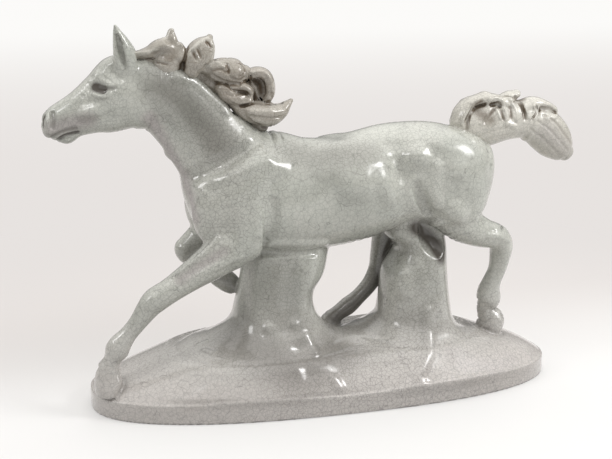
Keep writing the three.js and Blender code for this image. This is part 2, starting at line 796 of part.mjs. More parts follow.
function tailStations(sections) {
  return sections.map((section) => ({
    x: dock.x + section.at * tail_length,
    y: 0,
    z: dock.z + section.up * (tail_depth / 2),
    deep: section.deep * (tail_depth / 2),
    wide: section.wide * (tail_width / 2),
  }));
}

const tail_forms = {
  tail_stem: [
    { at: -0.085, up: 0, deep: 0.703, wide: 0.815 },
    { at: 0.02, up: 0.324, deep: 0.919, wide: 0.963 },
    { at: 0.19, up: 0.432, deep: 1, wide: 1 },
    { at: 0.36, up: 0.486, deep: 0.838, wide: 0.963 },
    { at: 0.51, up: 0.486, deep: 0.703, wide: 0.852 },
    { at: 0.58, up: 0.405, deep: 0.649, wide: 0.815 },
  ],
  tail_end: [
    { at: 0.62, up: 0.27, deep: 0.703, wide: 0.852 },
    { at: 0.72, up: 0, deep: 0.811, wide: 0.889 },
    { at: 0.84, up: -0.459, deep: 0.703, wide: 0.815 },
    { at: 0.925, up: -0.811, deep: 0.486, wide: 0.593 },
  ],
  tail_lock_1: [
    { at: -0.11, up: 0.703, deep: 0.27, wide: 0.444 },
    { at: -0.04, up: 1.135, deep: 0.351, wide: 0.593 },
    { at: 0.1, up: 1.351, deep: 0.378, wide: 0.63 },
    { at: 0.25, up: 1.351, deep: 0.297, wide: 0.556 },
    { at: 0.35, up: 1.405, deep: 0.189, wide: 0.333 },
  ],
  tail_lock_2: [
    { at: 0.3, up: 1.081, deep: 0.324, wide: 0.593 },
    { at: 0.4, up: 1.351, deep: 0.351, wide: 0.593 },
    { at: 0.47, up: 1.514, deep: 0.189, wide: 0.37 },
  ],
  tail_lock_3: [
    { at: 0.49, up: 1.027, deep: 0.351, wide: 0.593 },
    { at: 0.61, up: 1.108, deep: 0.351, wide: 0.593 },
    { at: 0.73, up: 0.946, deep: 0.297, wide: 0.481 },
    { at: 0.79, up: 0.838, deep: 0.162, wide: 0.296 },
  ],
};

// Assembly: each casting is cut back from those made before it by the joint gap
const horse = new THREE.Group();
const placed = [];

function place(name, body, finish, outer) {
  const mesh = new THREE.Mesh(geometryOf(largest(body)), new THREE.MeshStandardMaterial(finish));
  mesh.name = name;
  horse.add(mesh);
  placed.push(joined(outer, joint_gap));
}

function clearOf(body) {
  return placed.reduce((left, grown) => left.subtract(grown), body);
}

const uprightBore = (x, low, high, bore) => boreBetween([x, 0, low], [x, 0, high], bore);
const above_floor = plinth_wall + bore_overrun;
const above_crown = crownHeight(0) + bore_overrun;
const plinth_outer = [plinthSkin()];
const plinth = joined(plinth_outer)
  .subtract(solid(plinthHollow()))
  .subtract(uprightBore(vent_from_middle, -bore_overrun, above_floor, vent_bore))
  .subtract(uprightBore(front_support_x, above_floor, above_crown, drain_bore))
  .subtract(uprightBore(rear_support_x, above_floor, above_crown, drain_bore));
place('plinth', plinth, glaze, plinth_outer);

function bellyDrain(x) {
  const belly = bellyAt(x);
  return uprightBore(x, belly - casting_wall, belly + 2 * casting_wall, drain_bore);
}

const barrel_outer = barrelForms();
const barrel_hollow = loft(barrelStations(casting_wall), { power: barrel_power });
const mid_neck = neckStations(0)[3];
const neck_drain = boreBetween([neck_foot.x, 0, neck_foot.z], [mid_neck.x, 0, mid_neck.z], neck_drain_bore);
const barrel = joined(barrel_outer)
  .subtract(solid(barrel_hollow))
  .subtract(bellyDrain(front_support_x))
  .subtract(bellyDrain(rear_support_x))
  .subtract(neck_drain);
place('barrel', barrel, glaze, barrel_outer);

const head_outer = headForms();
const hollow_head_sections = 6;
const head_hollow = loft(headStations(casting_wall).slice(0, hollow_head_sections), {
  startCap: 6,
  endCap: 3,
  count: 12,
});
const head = headHollows()
  .reduce((left, hollow) => left.subtract(solid(hollow)), joined(head_outer).subtract(solid(head_hollow)));
const neck_outer = [loft(neckStations(0), { startCap: 6, endCap: 4 })];
const nape = headPoint(-0.26, -0.55);
const brow_inside = headPoint(0.12, 0.12);
const head_drain = boreBetween([nape.x, 0, nape.z], [brow_inside.x, 0, brow_inside.z], drain_bore);
place('head', head.subtract(head_drain), glaze, head_outer);

const neck_hollow = loft(neckStations(casting_wall), { startCap: 4, endCap: 6, count: 14 });
place('neck', clearOf(joined(neck_outer).subtract(solid(neck_hollow))), glaze, neck_outer);

for (const [name, side] of [['left_ear', -1], ['right_ear', 1]]) {
  const { leaf, scoop } = earForm(side);
  place(name, clearOf(solid(leaf).subtract(solid(scoop))), glaze, [leaf]);
}

mane_locks.forEach((lock, index) => {
  const form = maneForm(lock);
  place(`mane_lock_${index + 1}`, clearOf(solid(form)), stained_glaze, [form]);
});

Object.entries(tail_forms).forEach(([name, sections]) => {
  const endCap = (name === 'tail_end' ? 0.22 : 0.08) * tail_depth;
  const form = loft(tailStations(sections), { startCap: 0.11 * tail_depth, endCap, count: 10, steps: 2 });
  place(name, clearOf(solid(form)), stained_glaze, [form]);
});

const legs = {
  left_foreleg: leftForeleg(),
  right_foreleg: rightForeleg(),
  left_hind_leg: leftHindLeg(),
  right_hind_leg: rightHindLeg(),
};
Object.entries(legs).forEach(([name, forms]) => place(name, clearOf(joined(forms)), glaze, forms));

const supports = {
  front_support: {
    x: front_support_x,
    length: front_support_length,
    width: front_support_width,
    sections: front_support_sections,
  },
  rear_support: {
    x: rear_support_x,
    length: rear_support_length,
    width: rear_support_width,
    sections: rear_support_sections,
  },
};
Object.entries(supports).forEach(([name, support]) => {
  const outer = [draped(loft(supportStations(support, 0), { power: support_power }), support.x)];
  const hollow_stations = supportStations(support, casting_wall).slice(1);
  hollow_stations[0].z -= 2 * casting_wall;
  hollow_stations[hollow_stations.length - 1].z += casting_wall;
  const hollow = loft(hollow_stations, { power: support_power, count: 12 });
  place(name, clearOf(joined(outer).subtract(solid(hollow))), glaze, outer);
});

export default horse;
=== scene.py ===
"""Looks of a glazed ceramic figure of a running horse on an oval plinth.

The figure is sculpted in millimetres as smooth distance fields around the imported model's own boxes:
limbs through stations, eggs, and brush strokes laid on the surface. Each field becomes a mesh that is
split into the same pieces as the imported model, every piece closed and standing for its own node.
"""

import math

import bpy
import numpy as np
from mathutils import Matrix, Vector


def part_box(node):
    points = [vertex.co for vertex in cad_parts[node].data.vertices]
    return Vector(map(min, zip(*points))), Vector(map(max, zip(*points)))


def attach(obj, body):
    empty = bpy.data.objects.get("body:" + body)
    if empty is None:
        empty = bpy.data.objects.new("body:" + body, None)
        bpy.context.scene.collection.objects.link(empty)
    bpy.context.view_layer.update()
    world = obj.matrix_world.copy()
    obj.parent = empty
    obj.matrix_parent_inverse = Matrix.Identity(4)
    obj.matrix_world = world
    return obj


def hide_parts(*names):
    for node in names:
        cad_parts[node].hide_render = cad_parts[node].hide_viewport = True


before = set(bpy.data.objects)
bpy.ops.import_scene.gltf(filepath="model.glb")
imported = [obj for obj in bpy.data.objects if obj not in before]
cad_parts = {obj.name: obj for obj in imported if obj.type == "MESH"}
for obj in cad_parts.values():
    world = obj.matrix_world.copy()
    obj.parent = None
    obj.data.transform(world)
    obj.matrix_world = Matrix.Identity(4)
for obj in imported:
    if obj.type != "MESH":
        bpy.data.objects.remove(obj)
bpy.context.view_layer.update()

MM = 0.001
# Value of a field far from its forms, in millimetres
FAR = 25.0
# Points handled in one go
CHUNK = 60000
# Factor on the mesh's cells
GRAIN = 1.0


def node_box(name):
    """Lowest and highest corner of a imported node, in millimetres."""
    low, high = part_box(name)
    return np.array(low) / MM, np.array(high) / MM


# Sizes of the figure, in millimetres

plinth_low, plinth_high = node_box("plinth")
plinth_size = plinth_high - plinth_low
# Powers of the oval's outline and of the dome's section
oval_power = 2.4
crown_power = 6
# Height of the oval slab under the dome
plinth_side = 15.0
rim_round = 2.5
rim_ledge = 1.6
rim_blend = 1.5
foot_round = 2.0
support_flare = 22.0

# Middle height of the barrel
body_height = 160.0
chest_x = -104.0
barrel_length = 237.0
barrel_width = 74.0
barrel_depth = 96.0
neck_reach = 68.0
neck_rise = 74.0
neck_depth = 84.0
neck_width = 60.0
head_length = 84.0
head_depth = 51.0
head_width = 31.0
# How far the head points down
head_dip = math.radians(20.5)
ear_length = 30.0
ear_spread = 9.0

# Wall thickness of the hollow castings' skins
walls = {
    "plinth": 4.0,
    "front_support": 3.5,
    "rear_support": 3.5,
    "barrel": 3.5,
    "neck": 3.0,
    "head": 2.5,
    "right_hind_leg": 2.0,
}


# Distance fields


def smoothed(rows, steps):
    """Rows of numbers with steps more between each two, on one smooth curve through all of them."""
    rows = np.asarray(rows, float)
    padded = np.vstack([2 * rows[0] - rows[1], rows, 2 * rows[-1] - rows[-2]])
    t = np.linspace(0, 1, steps, endpoint=False)[:, None]
    parts = []
    for a, b, c, d in zip(padded, padded[1:], padded[2:], padded[3:]):
        square = 2 * a - 5 * b + 4 * c - d
        cube = 3 * b - a - 3 * c + d
        parts.append(0.5 * (2 * b + (c - a) * t + square * t**2 + cube * t**3))
    return np.vstack(parts + [rows[-1:]])


def unit(vectors):
    """The vectors at length one."""
    return vectors / np.maximum(np.linalg.norm(vectors, axis=-1, keepdims=True), 1e-9)


class Limb:
    """A limb through stations (x, y, z, deep, wide[, lean]).

    deep is half the section's extent in the plane of the figure and wide half of it across. lean
    broadens the section towards its upper side. The ends are round, by start and end.
    """

    def __init__(self, stations, start=None, end=None, power=2.0, steps=6):
        rows = smoothed([tuple(s) + (0,) * (6 - len(s)) for s in stations], steps)
        self.middle = rows[:, :3]
        along = unit(np.gradient(self.middle, axis=0))
        sideways = np.array([0.0, 1.0, 0.0])
        across = unit(sideways - along * (along @ sideways)[:, None])
        normal = np.cross(along, across)
        gap = np.linalg.norm(np.diff(self.middle, axis=0), axis=1)
        self.gap = np.append(gap, gap[-1])
        self.rows = np.hstack([self.middle, along, across, normal, rows[:, 3:]]).astype(np.float32)
        self.start = start or min(rows[0, 3:5])
        self.end = end or min(rows[-1, 3:5])
        self.power = power
        reach = np.maximum(rows[:, 3], rows[:, 4])[:, None] + max(self.start, self.end) * 0.5
        self.low = (self.middle - reach).min(0)
        self.high = (self.middle + reach).max(0)

    def distance(self, points):
        middle = self.rows[:, :3]
        offset = middle.mean(0)
        p = points - offset
        m = middle - offset
        near = (np.sum(m**2, 1)[None] - 2 * (p @ m.T)).argmin(1)
        shift = np.sum((points - middle[near]) * self.rows[near, 3:6], 1) / self.gap[near]
        last = len(self.rows) - 1
        place = np.clip(near + shift, 0, last)
        below = np.minimum(place.astype(int), last - 1)
        part = (place - below)[:, None].astype(np.float32)
        row = self.rows[below] * (1 - part) + self.rows[below + 1] * part
        rel = points - row[:, :3]
        v = np.sum(rel * row[:, 9:12], 1) / row[:, 12]
        u = np.sum(rel * row[:, 6:9], 1) / (row[:, 13] * (1 + row[:, 14] * np.clip(v, -1.2, 1.2)))
        w = np.sum(rel * row[:, 3:6], 1) / np.where(place < last / 2, self.start, self.end)
        section = (np.abs(u) ** self.power + np.abs(v) ** self.power) ** (2 / self.power)
        k = np.sqrt(section + w**2) + 1e-6
        length = np.linalg.norm(rel, axis=1)
        return length - length / k


class Column:
    """An upright form with level sections (x, y, z, deep, wide), deep along x and wide across."""

    def __init__(self, stations, power=2.1, cap=12.0):
        self.rows = smoothed(stations, 8)
        self.slopes = np.gradient(self.rows, axis=0) / np.gradient(self.rows[:, 2])[:, None]
        self.power = power
        self.cap = cap
        reach = self.rows[:, 3:5].max()
        self.low = self.rows[:, :3].min(0) - np.array([reach, reach, cap])
        self.high = self.rows[:, :3].max(0) + np.array([reach, reach, cap])

    def distance(self, points):
        z = points[:, 2]
        level = np.clip(z, self.rows[0, 2], self.rows[-1, 2])
        x, y, deep, wide = (np.interp(level, self.rows[:, 2], self.rows[:, k]) for k in (0, 1, 3, 4))
        slope = [np.interp(level, self.rows[:, 2], self.slopes[:, k]) for k in (0, 1, 3, 4)]
        u = (points[:, 0] - x) / deep
        v = (points[:, 1] - y) / wide
        across = (np.abs(u) ** self.power + np.abs(v) ** self.power) ** (1 / self.power) + 1e-6
        k = np.sqrt(across**2 + ((z - level) / self.cap) ** 2)
        out = np.hypot(points[:, 0] - x, points[:, 1] - y)
        lean = (slope[0] * u + slope[1] * v + slope[2] * np.abs(u) + slope[3] * np.abs(v)) / k
        return (out / across * (k - 1) / np.sqrt(1 + lean**2)).astype(np.float32)


class Egg:
    """An ellipsoid with three radii, turned about Y by tilt in degrees."""

    def __init__(self, middle, radii, tilt=0.0):
        self.turn = np.array(Matrix.Rotation(math.radians(tilt), 3, "Y"), np.float32)
        self.middle = np.array(middle, np.float32)
        self.radii = np.array(radii, np.float32)
        self.low = self.middle - max(radii)
        self.high = self.middle + max(radii)

    def distance(self, points):
        q = (points - self.middle) @ self.turn / self.radii
        inner = np.linalg.norm(q, axis=1)
        outer = np.linalg.norm(q / self.radii, axis=1) + 1e-6
        return inner * (inner - 1) / outer


class Slab:
    """The plinth: an oval slab with a low dome on it."""

    def __init__(self, length, width, side, crown):
        self.half = np.array([length / 2, width / 2])
        self.side = side
        self.crown = crown
        self.low = np.array([-length / 2, -width / 2, 0])
        self.high = np.array([length / 2, width / 2, side + crown])

    def share(self, points, inset=0.0):
        scaled = np.abs(points[:, :2]) / (self.half - inset)
        return np.sum(scaled**oval_power, 1) ** (1 / oval_power)

    def top(self, x, y):
        share = self.share(np.array([[x, y]], float), rim_ledge)
        return self.side + self.crown * (1 - min(share[0], 1) ** crown_power)

    def distance(self, points):
        share = self.share(points) + 1e-6
        out = np.linalg.norm(points[:, :2], axis=1)
        local = np.maximum(out / share, self.half[1])
        edge = (share - 1) * local
        z = points[:, 2]
        slab = cut_away(np.maximum(edge, -z), self.side - z, rim_round)
        ledge_share = np.minimum(self.share(points, rim_ledge), 1.05)
        rise = self.crown * (1 - ledge_share**crown_power)
        slope = self.crown * crown_power * ledge_share ** (crown_power - 1) / local
        dome = (z - self.side - rise) / np.sqrt(1 + slope**2)
        dome = cut_away(dome, -(edge + rim_ledge), rim_round)
        both = joined(slab, dome, rim_blend)
        return cut_away(both, z, foot_round)


def joined(a, b, blend):
    """The smooth union of two fields."""
    h = np.maximum(blend - np.abs(a - b), 0) / blend
    return np.minimum(a, b) - h**3 * blend / 6


def cut_away(a, b, blend):
    """Field a with field b taken out of it, with a round edge."""
    return -joined(-a, b, blend)


class Stroke:
    """A brush stroke on the surface: raises it by height, or sinks it, within width of a path."""

    def __init__(self, path, width, height, stain_and_shade=0.0, tint=0.0):
        path = np.asarray(path, float).reshape(-1, 3)
        self.path = smoothed(path, 6).astype(np.float32) if len(path) > 1 else path.astype(np.float32)
        self.width = width
        self.height = height
        self.stain_and_shade = stain_and_shade
        self.tint = tint
        self.low = self.path.min(0) - width
        self.high = self.path.max(0) + width

    def weight(self, points):
        nearest = np.full(len(points), 1e9, np.float32)
        if len(self.path) == 1:
            nearest = np.sum((points - self.path[0]) ** 2, 1)
        for a, b in zip(self.path, self.path[1:]):
            line = b - a
            t = np.clip((points - a) @ line / (line @ line), 0, 1)[:, None]
            nearest = np.minimum(nearest, np.sum((points - a - t * line) ** 2, 1))
        return np.maximum(1 - nearest / self.width**2, 0) ** 3


def within(points, corners, thing, margin=0.0):
    """Which points lie in the box of a form or stroke, or None. The corners are the points' own."""
    low, high = thing.low - margin, thing.high + margin
    if np.any(corners[0] > high) or np.any(corners[1] < low):
        return None
    near = np.all((points > low) & (points < high), 1)
    return near if near.any() else None


class Sculpture:
    """Forms joined and cut in order, with brush strokes on top, each form belonging to a piece.

    Forms of one group are joined by their own blends, and the groups by seam. ground is the stain
    that the whole surface starts from.
    """

    def __init__(self):
        self.steps = []
        self.strokes = []
        self.pieces = []
        self.group = "figure"
        self.seam = 3.0
        self.ground = 0.0

    def add(self, piece, form, blend):
        if piece not in self.pieces:
            self.pieces.append(piece)
        self.steps.append((piece, form, blend, self.group))

    def cut(self, form, blend):
        self.steps.append((None, form, blend, self.group))

    def mark(self, path, width, height, stain_and_shade=0.0, tint=0.0):
        """Lays a stroke along points in space."""
        self.strokes.append(Stroke(path, width, height, stain_and_shade, tint))

    def brush(self, side, path, width, height, stain_and_shade=0.0, tint=0.0):
        """Lays a stroke on the near side, -1, or the far side, 1, or on both, 0, by its x and z."""
        for one in (side,) if side else (-1, 1):
            self.mark([self.onto(x, z, one) for x, z in path], width, height, stain_and_shade, tint)

    def brush_all(self, rows):
        """Lays strokes on both sides, from rows of path, width, height, darkening by stain and painted
        shade, and tint.
        """
        for row in rows:
            self.brush(0, *row)

    def onto(self, x, z, side, outside=90.0, beyond=60.0, tries=60, close=0.05):
        """The surface's point at x and z, met from outside on one side of the figure."""
        spot = np.array([[x, side * outside, z]], np.float32)
        for _ in range(tries):
            left = self.distance(spot, FAR, strokes=False)[0]
            if left < close or side * spot[0, 1] < -beyond:
                break
            spot[0, 1] -= side * max(left * 0.7, close)
        return spot[0]

    def distance(self, points, reach=0.0, strokes=True, owners=False):
        """The field at points, exact within reach of it, and with owners each piece's own distance."""
        points = np.asarray(points, np.float32)
        groups = {}
        nearest = np.full((len(self.pieces), len(points)), FAR, np.float32)
        corners = points.min(0), points.max(0)
        for piece, form, blend, group in self.steps:
            total = groups.setdefault(group, np.full(len(points), FAR, np.float32))
            near = within(points, corners, form, max(reach, blend + 1.0))
            if near is None:
                continue
            value = form.distance(points[near])
            if piece is None:
                total[near] = cut_away(total[near], value, blend)
                continue
            total[near] = joined(total[near], value, blend)
            if owners:
                row = nearest[self.pieces.index(piece)]
                row[near] = np.minimum(row[near], value)
        total = np.full(len(points), FAR, np.float32)
        for value in groups.values():
            total = joined(total, value, self.seam)
        for stroke in self.strokes if strokes else ():
            near = within(points, corners, stroke)
            if near is not None:
                total[near] -= stroke.height * stroke.weight(points[near])
        return (total, nearest) if owners else total

    def painted(self, points, kind):
        """How much darkening by stain and painted shade, or how much tint, the strokes leave at each point.
        A negative darkening wipes it off.
        """
        total = np.full(len(points), self.ground if kind == "stain_and_shade" else 0.0, np.float32)
        corners = points.min(0), points.max(0)
        for stroke in self.strokes:
            strength = getattr(stroke, kind)
            near = within(points, corners, stroke) if strength else None
            if near is not None:
                amount = strength * stroke.weight(points[near])
                lighter = total[near] * (1 + amount)
                total[near] = lighter if strength < 0 else np.maximum(total[near], amount)
        return total


def in_chunks(function, points, axis=0):
    parts = [function(points[i:i + CHUNK]) for i in range(0, len(points), CHUNK)]
    return np.concatenate(parts, axis)


def gradient(sculpture, points, step=0.3):
    """The field's slope at points, by differences over twice the step."""
    slopes = []
    for axis in range(3):
        shift = np.zeros(3, np.float32)
        shift[axis] = step
        ahead = in_chunks(sculpture.distance, points + shift)
        behind = in_chunks(sculpture.distance, points - shift)
        slopes.append((ahead - behind) / (2 * step))
    return np.stack(slopes, 1)


# From field to mesh


def spaced(low, high, bands):
    """Grid planes from low to high; bands are (up to, step) pairs in rising order."""
    planes = [low]
    for limit, step in bands:
        while planes[-1] < min(limit, high):
            planes.append(planes[-1] + step * GRAIN)
    return np.array(planes, np.float32)


def resized(values, axis, old, new):
    """Values on planes old of an axis, carried over to planes new."""
    place = np.interp(new, old, np.arange(len(old)))
    below = np.minimum(place.astype(int), len(old) - 2)
    shape = [1, 1, 1]
    shape[axis] = -1
    part = (place - below).reshape(shape).astype(np.float32)
    return np.take(values, below, axis) * (1 - part) + np.take(values, below + 1, axis) * part


def field_on(sculpture, axes, skip=5):
    """The field on a grid: exact near the surface, and interpolated from a coarse grid elsewhere."""
    coarse_axes = [np.append(axis[:-1:skip], axis[-1]) for axis in axes]
    mesh = np.stack(np.meshgrid(*coarse_axes, indexing="ij"), -1).reshape(-1, 3)
    coarse = in_chunks(lambda p: sculpture.distance(p, FAR), mesh)
    values = np.clip(coarse, -FAR, FAR).reshape([len(axis) for axis in coarse_axes])
    for axis in range(3):
        values = resized(values, axis, coarse_axes[axis], axes[axis])
    widest = max(np.diff(axis).max() for axis in coarse_axes)
    band = np.argwhere(np.abs(values) < 1.1 * widest)
    points = np.stack([axes[k][band[:, k]] for k in range(3)], 1)
    values[tuple(band.T)] = in_chunks(sculpture.distance, points)
    return values


def surface_nets(values, axes):
    """Vertices and quads of the surface where the field is zero."""
    cells = np.array(values.shape) - 1
    ids, spots, quads = [], [], []
    for d in range(3):
        e, f = (d + 1) % 3, (d + 2) % 3
        hit = np.argwhere(np.diff(values < 0, axis=d))
        ahead = hit + np.eye(3, dtype=int)[d]
        va, vb = values[tuple(hit.T)], values[tuple(ahead.T)]
        point = np.stack([axes[k][hit[:, k]] for k in range(3)], 1)
        point[:, d] += va / (va - vb) * (axes[d][ahead[:, d]] - point[:, d])
        corners = []
        for back_e, back_f in ((0, 0), (1, 0), (1, 1), (0, 1)):
            cell = hit.copy()
            cell[:, e] -= back_e
            cell[:, f] -= back_f
            corners.append((cell[:, 0] * cells[1] + cell[:, 1]) * cells[2] + cell[:, 2])
            ids.append(corners[-1])
            spots.append(point)
        quad = np.stack(corners, 1)
        quad[va > 0] = quad[va > 0][:, ::-1]
        quads.append(quad)
    ids = np.concatenate(ids)
    spots = np.concatenate(spots)
    used, place = np.unique(ids, return_inverse=True)
    count = np.bincount(place)
    vertices = np.stack([np.bincount(place, spots[:, k]) / count for k in range(3)], 1)
    return vertices.astype(np.float32), np.searchsorted(used, np.concatenate(quads))


def boundary_loops(faces, size):
    """Closed rows of vertices round the holes of a patch of quads, in the direction of its faces."""
    starts = faces.reshape(-1)
    ends = np.roll(faces, -1, 1).reshape(-1)
    edges, counts = np.unique(starts * size + ends, return_counts=True)
    turned = (edges % size) * size + edges // size
    place = np.minimum(np.searchsorted(edges, turned), len(edges) - 1)
    surplus = counts - np.where(edges[place] == turned, counts[place], 0)
    following = {}
    for edge, times in zip(edges[surplus > 0].tolist(), surplus[surplus > 0].tolist()):
        following.setdefault(edge // size, []).extend([edge % size] * times)
    loops = []
    while following:
        first = next(iter(following))
        loop = [first]
        while True:
            onward = following[loop[-1]].pop()
            if not following[loop[-1]]:
                del following[loop[-1]]
            if onward == first:
                break
            loop.append(onward)
        loops.append(loop)
    return loops


def placed(name, data):
    """A new object in the scene."""
    thing = bpy.data.objects.new(name, data)
    bpy.context.scene.collection.objects.link(thing)
    return thing


def make_pieces(sculpture, axes, material):
    """Meshes the sculpture and splits it into one closed object for each piece."""
    vertices, quads = surface_nets(field_on(sculpture, axes), axes)
    # Two steps down the slope set the vertices on the surface
    for _ in range(2):
        slope = gradient(sculpture, vertices)
        value = in_chunks(sculpture.distance, vertices)
        move = value[:, None] * slope / np.maximum(np.sum(slope**2, 1), 0.2)[:, None]
        vertices = vertices - np.clip(move, -1, 1)
    normals = unit(gradient(sculpture, vertices))
    # A vertex lies in a hollow where the surface comes back near it further out. The glaze darkens there
    # with painted shade and with glaze pooled in the hollow
    hollow = np.zeros(len(vertices), np.float32)
    for depth in (2.5, 7.0):
        seen = in_chunks(sculpture.distance, vertices + normals * depth)
        hollow += np.clip(1 - seen / depth, 0, 1) / 2
    # Darkening by stain and painted shade, and tint, from the strokes
    stain_and_shade = in_chunks(lambda p: sculpture.painted(p, "stain_and_shade"), vertices)
    tint = in_chunks(lambda p: sculpture.painted(p, "tint"), vertices)
    nearest = in_chunks(lambda p: sculpture.distance(p, FAR, owners=True)[1], vertices, axis=1)
    owner = nearest[:, quads].mean(2).argmin(0)
    attributes = {"hollow": hollow, "stain_and_shade": stain_and_shade, "tint": tint}
    for index, name in enumerate(sculpture.pieces):
        faces = quads[owner == index]
        if len(faces) == 0:
            raise ValueError(f"no surface for {name}")
        make_piece(name, vertices, normals, faces, attributes, material)


def make_piece(name, vertices, normals, faces, attributes, material):
    """One closed object: a skin with walls for a casting, and with closed ends for a solid piece."""
    used, flat = np.unique(faces, return_inverse=True)
    faces = flat.reshape(-1, 4)
    spots = vertices[used].tolist()
    aims = normals[used].tolist()
    extra = {key: values[used].tolist() for key, values in attributes.items()}
    rows = faces.tolist()
    loops = boundary_loops(faces, len(used))
    if name in walls:
        count = len(used)
        inner = np.array(spots) - walls[name] * np.array(aims)
        spots += inner.tolist()
        aims += (-np.array(aims)).tolist()
        rows += (faces[:, ::-1] + count).tolist()
        for values in extra.values():
            values += [0.0] * count
        for loop in loops:
            for a, b in zip(loop, loop[1:] + loop[:1]):
                rows.append([b, a, a + count, b + count])
        loops = []
    for loop in loops:
        middle = np.mean([spots[i] for i in loop], 0)
        spots.append(middle.tolist())
        aims.append([0.0, 0.0, 1.0])
        for values in extra.values():
            values.append(0.0)
        centre = len(spots) - 1
        for a, b in zip(loop, loop[1:] + loop[:1]):
            rows.append([b, a, centre])
    mesh = bpy.data.meshes.new(name)
    mesh.from_pydata((np.array(spots) * MM).tolist(), [], rows)
    for key, values in extra.items():
        mesh.attributes.new(key, "FLOAT", "POINT").data.foreach_set("value", values)
    mesh.shade_smooth()
    mesh.normals_split_custom_set_from_vertices(aims)
    mesh.materials.append(material)
    piece = placed(f"{name}_glazed", mesh)
    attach(piece, "root")
    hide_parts(name)


# Plinth and supports

plinth = Slab(plinth_size[0], plinth_size[1], plinth_side, plinth_size[2] - plinth_side)
horse = Sculpture()


def support(name, x, length, width, sections):
    """A column from the dome to the barrel.

    Its sections are (share of the height, shift along, shift across, length, width), as shares.
    """
    foot = plinth.top(x, 0)
    crown = node_box(name)[1][2]
    stations = []
    for up, shift, aside, deep, wide in sections:
        z = foot + up * (crown - foot)
        stations.append((x + shift * length / 2, aside * width / 2, z, deep * length / 2, wide * width / 2))
    horse.add(name, Column(stations), support_flare)


horse.group = "base"
horse.add("plinth", plinth, 1.0)
support("front_support", -43.0, 148.0, 98.0, [
    (-0.2, -0.11, -0.061, 1.22, 1.2),
    (-0.1, -0.11, -0.061, 1.12, 1.14),
    (-0.02, -0.105, -0.061, 1.0, 1.08),
    (0.05, -0.095, -0.061, 0.85, 0.95),
    (0.08, -0.075, -0.061, 0.75, 0.88),
    (0.12, -0.03, -0.061, 0.65, 0.81),
    (0.2, 0.014, -0.058, 0.525, 0.73),
    (0.29, 0.02, -0.05, 0.445, 0.67),
    (0.4, 0.02, -0.041, 0.41, 0.62),
    (0.52, 0.045, -0.041, 0.4, 0.59),
    (0.66, 0.11, -0.041, 0.435, 0.571),
    (0.84, 0.14, -0.02, 0.455, 0.551),
    (1.0, 0.15, 0, 0.48, 0.545),
    (1.1, 0.15, 0, 0.49, 0.55),
])
support("rear_support", 73.0, 122.0, 94.0, [
    (-0.2, -0.1, -0.064, 1.22, 1.26),
    (-0.1, -0.1, -0.064, 1.04, 1.12),
    (-0.02, -0.1, -0.064, 0.90, 1.0),
    (0.06, -0.09, -0.064, 0.67, 0.83),
    (0.15, -0.03, -0.064, 0.51, 0.71),
    (0.26, -0.02, -0.064, 0.465, 0.66),
    (0.4, -0.025, -0.064, 0.44, 0.62),
    (0.55, -0.02, -0.064, 0.415, 0.575),
    (0.72, 0.05, -0.045, 0.33, 0.53),
    (0.84, -0.03, -0.03, 0.395, 0.5),
    (1.0, -0.02, 0, 0.41, 0.489),
    (1.1, -0.02, 0, 0.42, 0.489),
])
# Hollow between the rear support and the thigh
for side in (-1, 1):
    horse.cut(Egg((79, side * 32, 121), (13, 17, 21), tilt=-28), 3.5)
horse.group = "figure"


# Barrel


def barrel_at(share, y=0.0, up=0.0):
    """A point at a share of the barrel's length, so far above its middle line as shares of its depth."""
    return (chest_x + share * barrel_length, y, body_height + up * barrel_depth)


def barrel():
    # Share of the length, underside and back from the middle line, width, lean
    sections = [
        (0.035, -0.385, 0.198, 0.60, 0),
        (0.08, -0.458, 0.312, 0.74, 0),
        (0.144, -0.50, 0.41, 0.86, -0.08),
        (0.232, -0.50, 0.45, 0.95, -0.2),
        (0.354, -0.51, 0.38, 0.99, -0.1),
        (0.49, -0.479, 0.37, 0.98, -0.06),
        (0.59, -0.415, 0.43, 0.91, -0.08),
        (0.66, -0.375, 0.465, 0.84, -0.1),
        (0.76, -0.344, 0.469, 0.89, -0.1),
        (0.84, -0.312, 0.438, 0.90, -0.08),
        (0.90, -0.271, 0.396, 0.85, 0),
        (0.95, -0.229, 0.312, 0.66, 0),
    ]
    stations = [
        barrel_at(at, 0, (low + high) / 2) + ((high - low) / 2 * barrel_depth, wide * barrel_width / 2, lean)
        for at, low, high, wide, lean in sections
    ]
    horse.add("barrel", Limb(stations, start=8, end=12, power=2.2), 3.0)
    for side in (-1, 1):
        horse.add("barrel", Egg((97, side * 18, 160), (27, 20.5, 36), tilt=-10), 14.0)
        horse.add("barrel", Egg((84, side * 17, 181), (30, 17.5, 19), tilt=8), 10.0)
        horse.add("barrel", Egg((15, side * 16, 162), (38, 23, 33), tilt=10), 10.0)


def shoulders():
    for side in (-1, 1):
        horse.add("barrel", Egg((-70, side * 20.5, 160), (23, 17.5, 38), tilt=34), 4.0)
        horse.add("barrel", Egg((-89.5, side * 17, 148), (15.5, 15, 26)), 5.0)
        outer = side * 30
        horse.add("left_foreleg" if side < 0 else "right_foreleg", Limb([
            (-71, side * 27, 164, 9, 7),
            (-67, outer, 152, 12, 8.5),
            (-66.5, outer, 138, 12.5, 9),
            (-68, outer, 126, 11.5, 9),
            (-76, side * 28, 118, 9, 9),
        ], start=9, end=8), 2.0)


barrel()


# Neck and head

neck_foot = barrel_at(0.16, 0, 0.02)
poll = (neck_foot[0] - neck_reach, 0.0, neck_foot[2] + neck_rise)


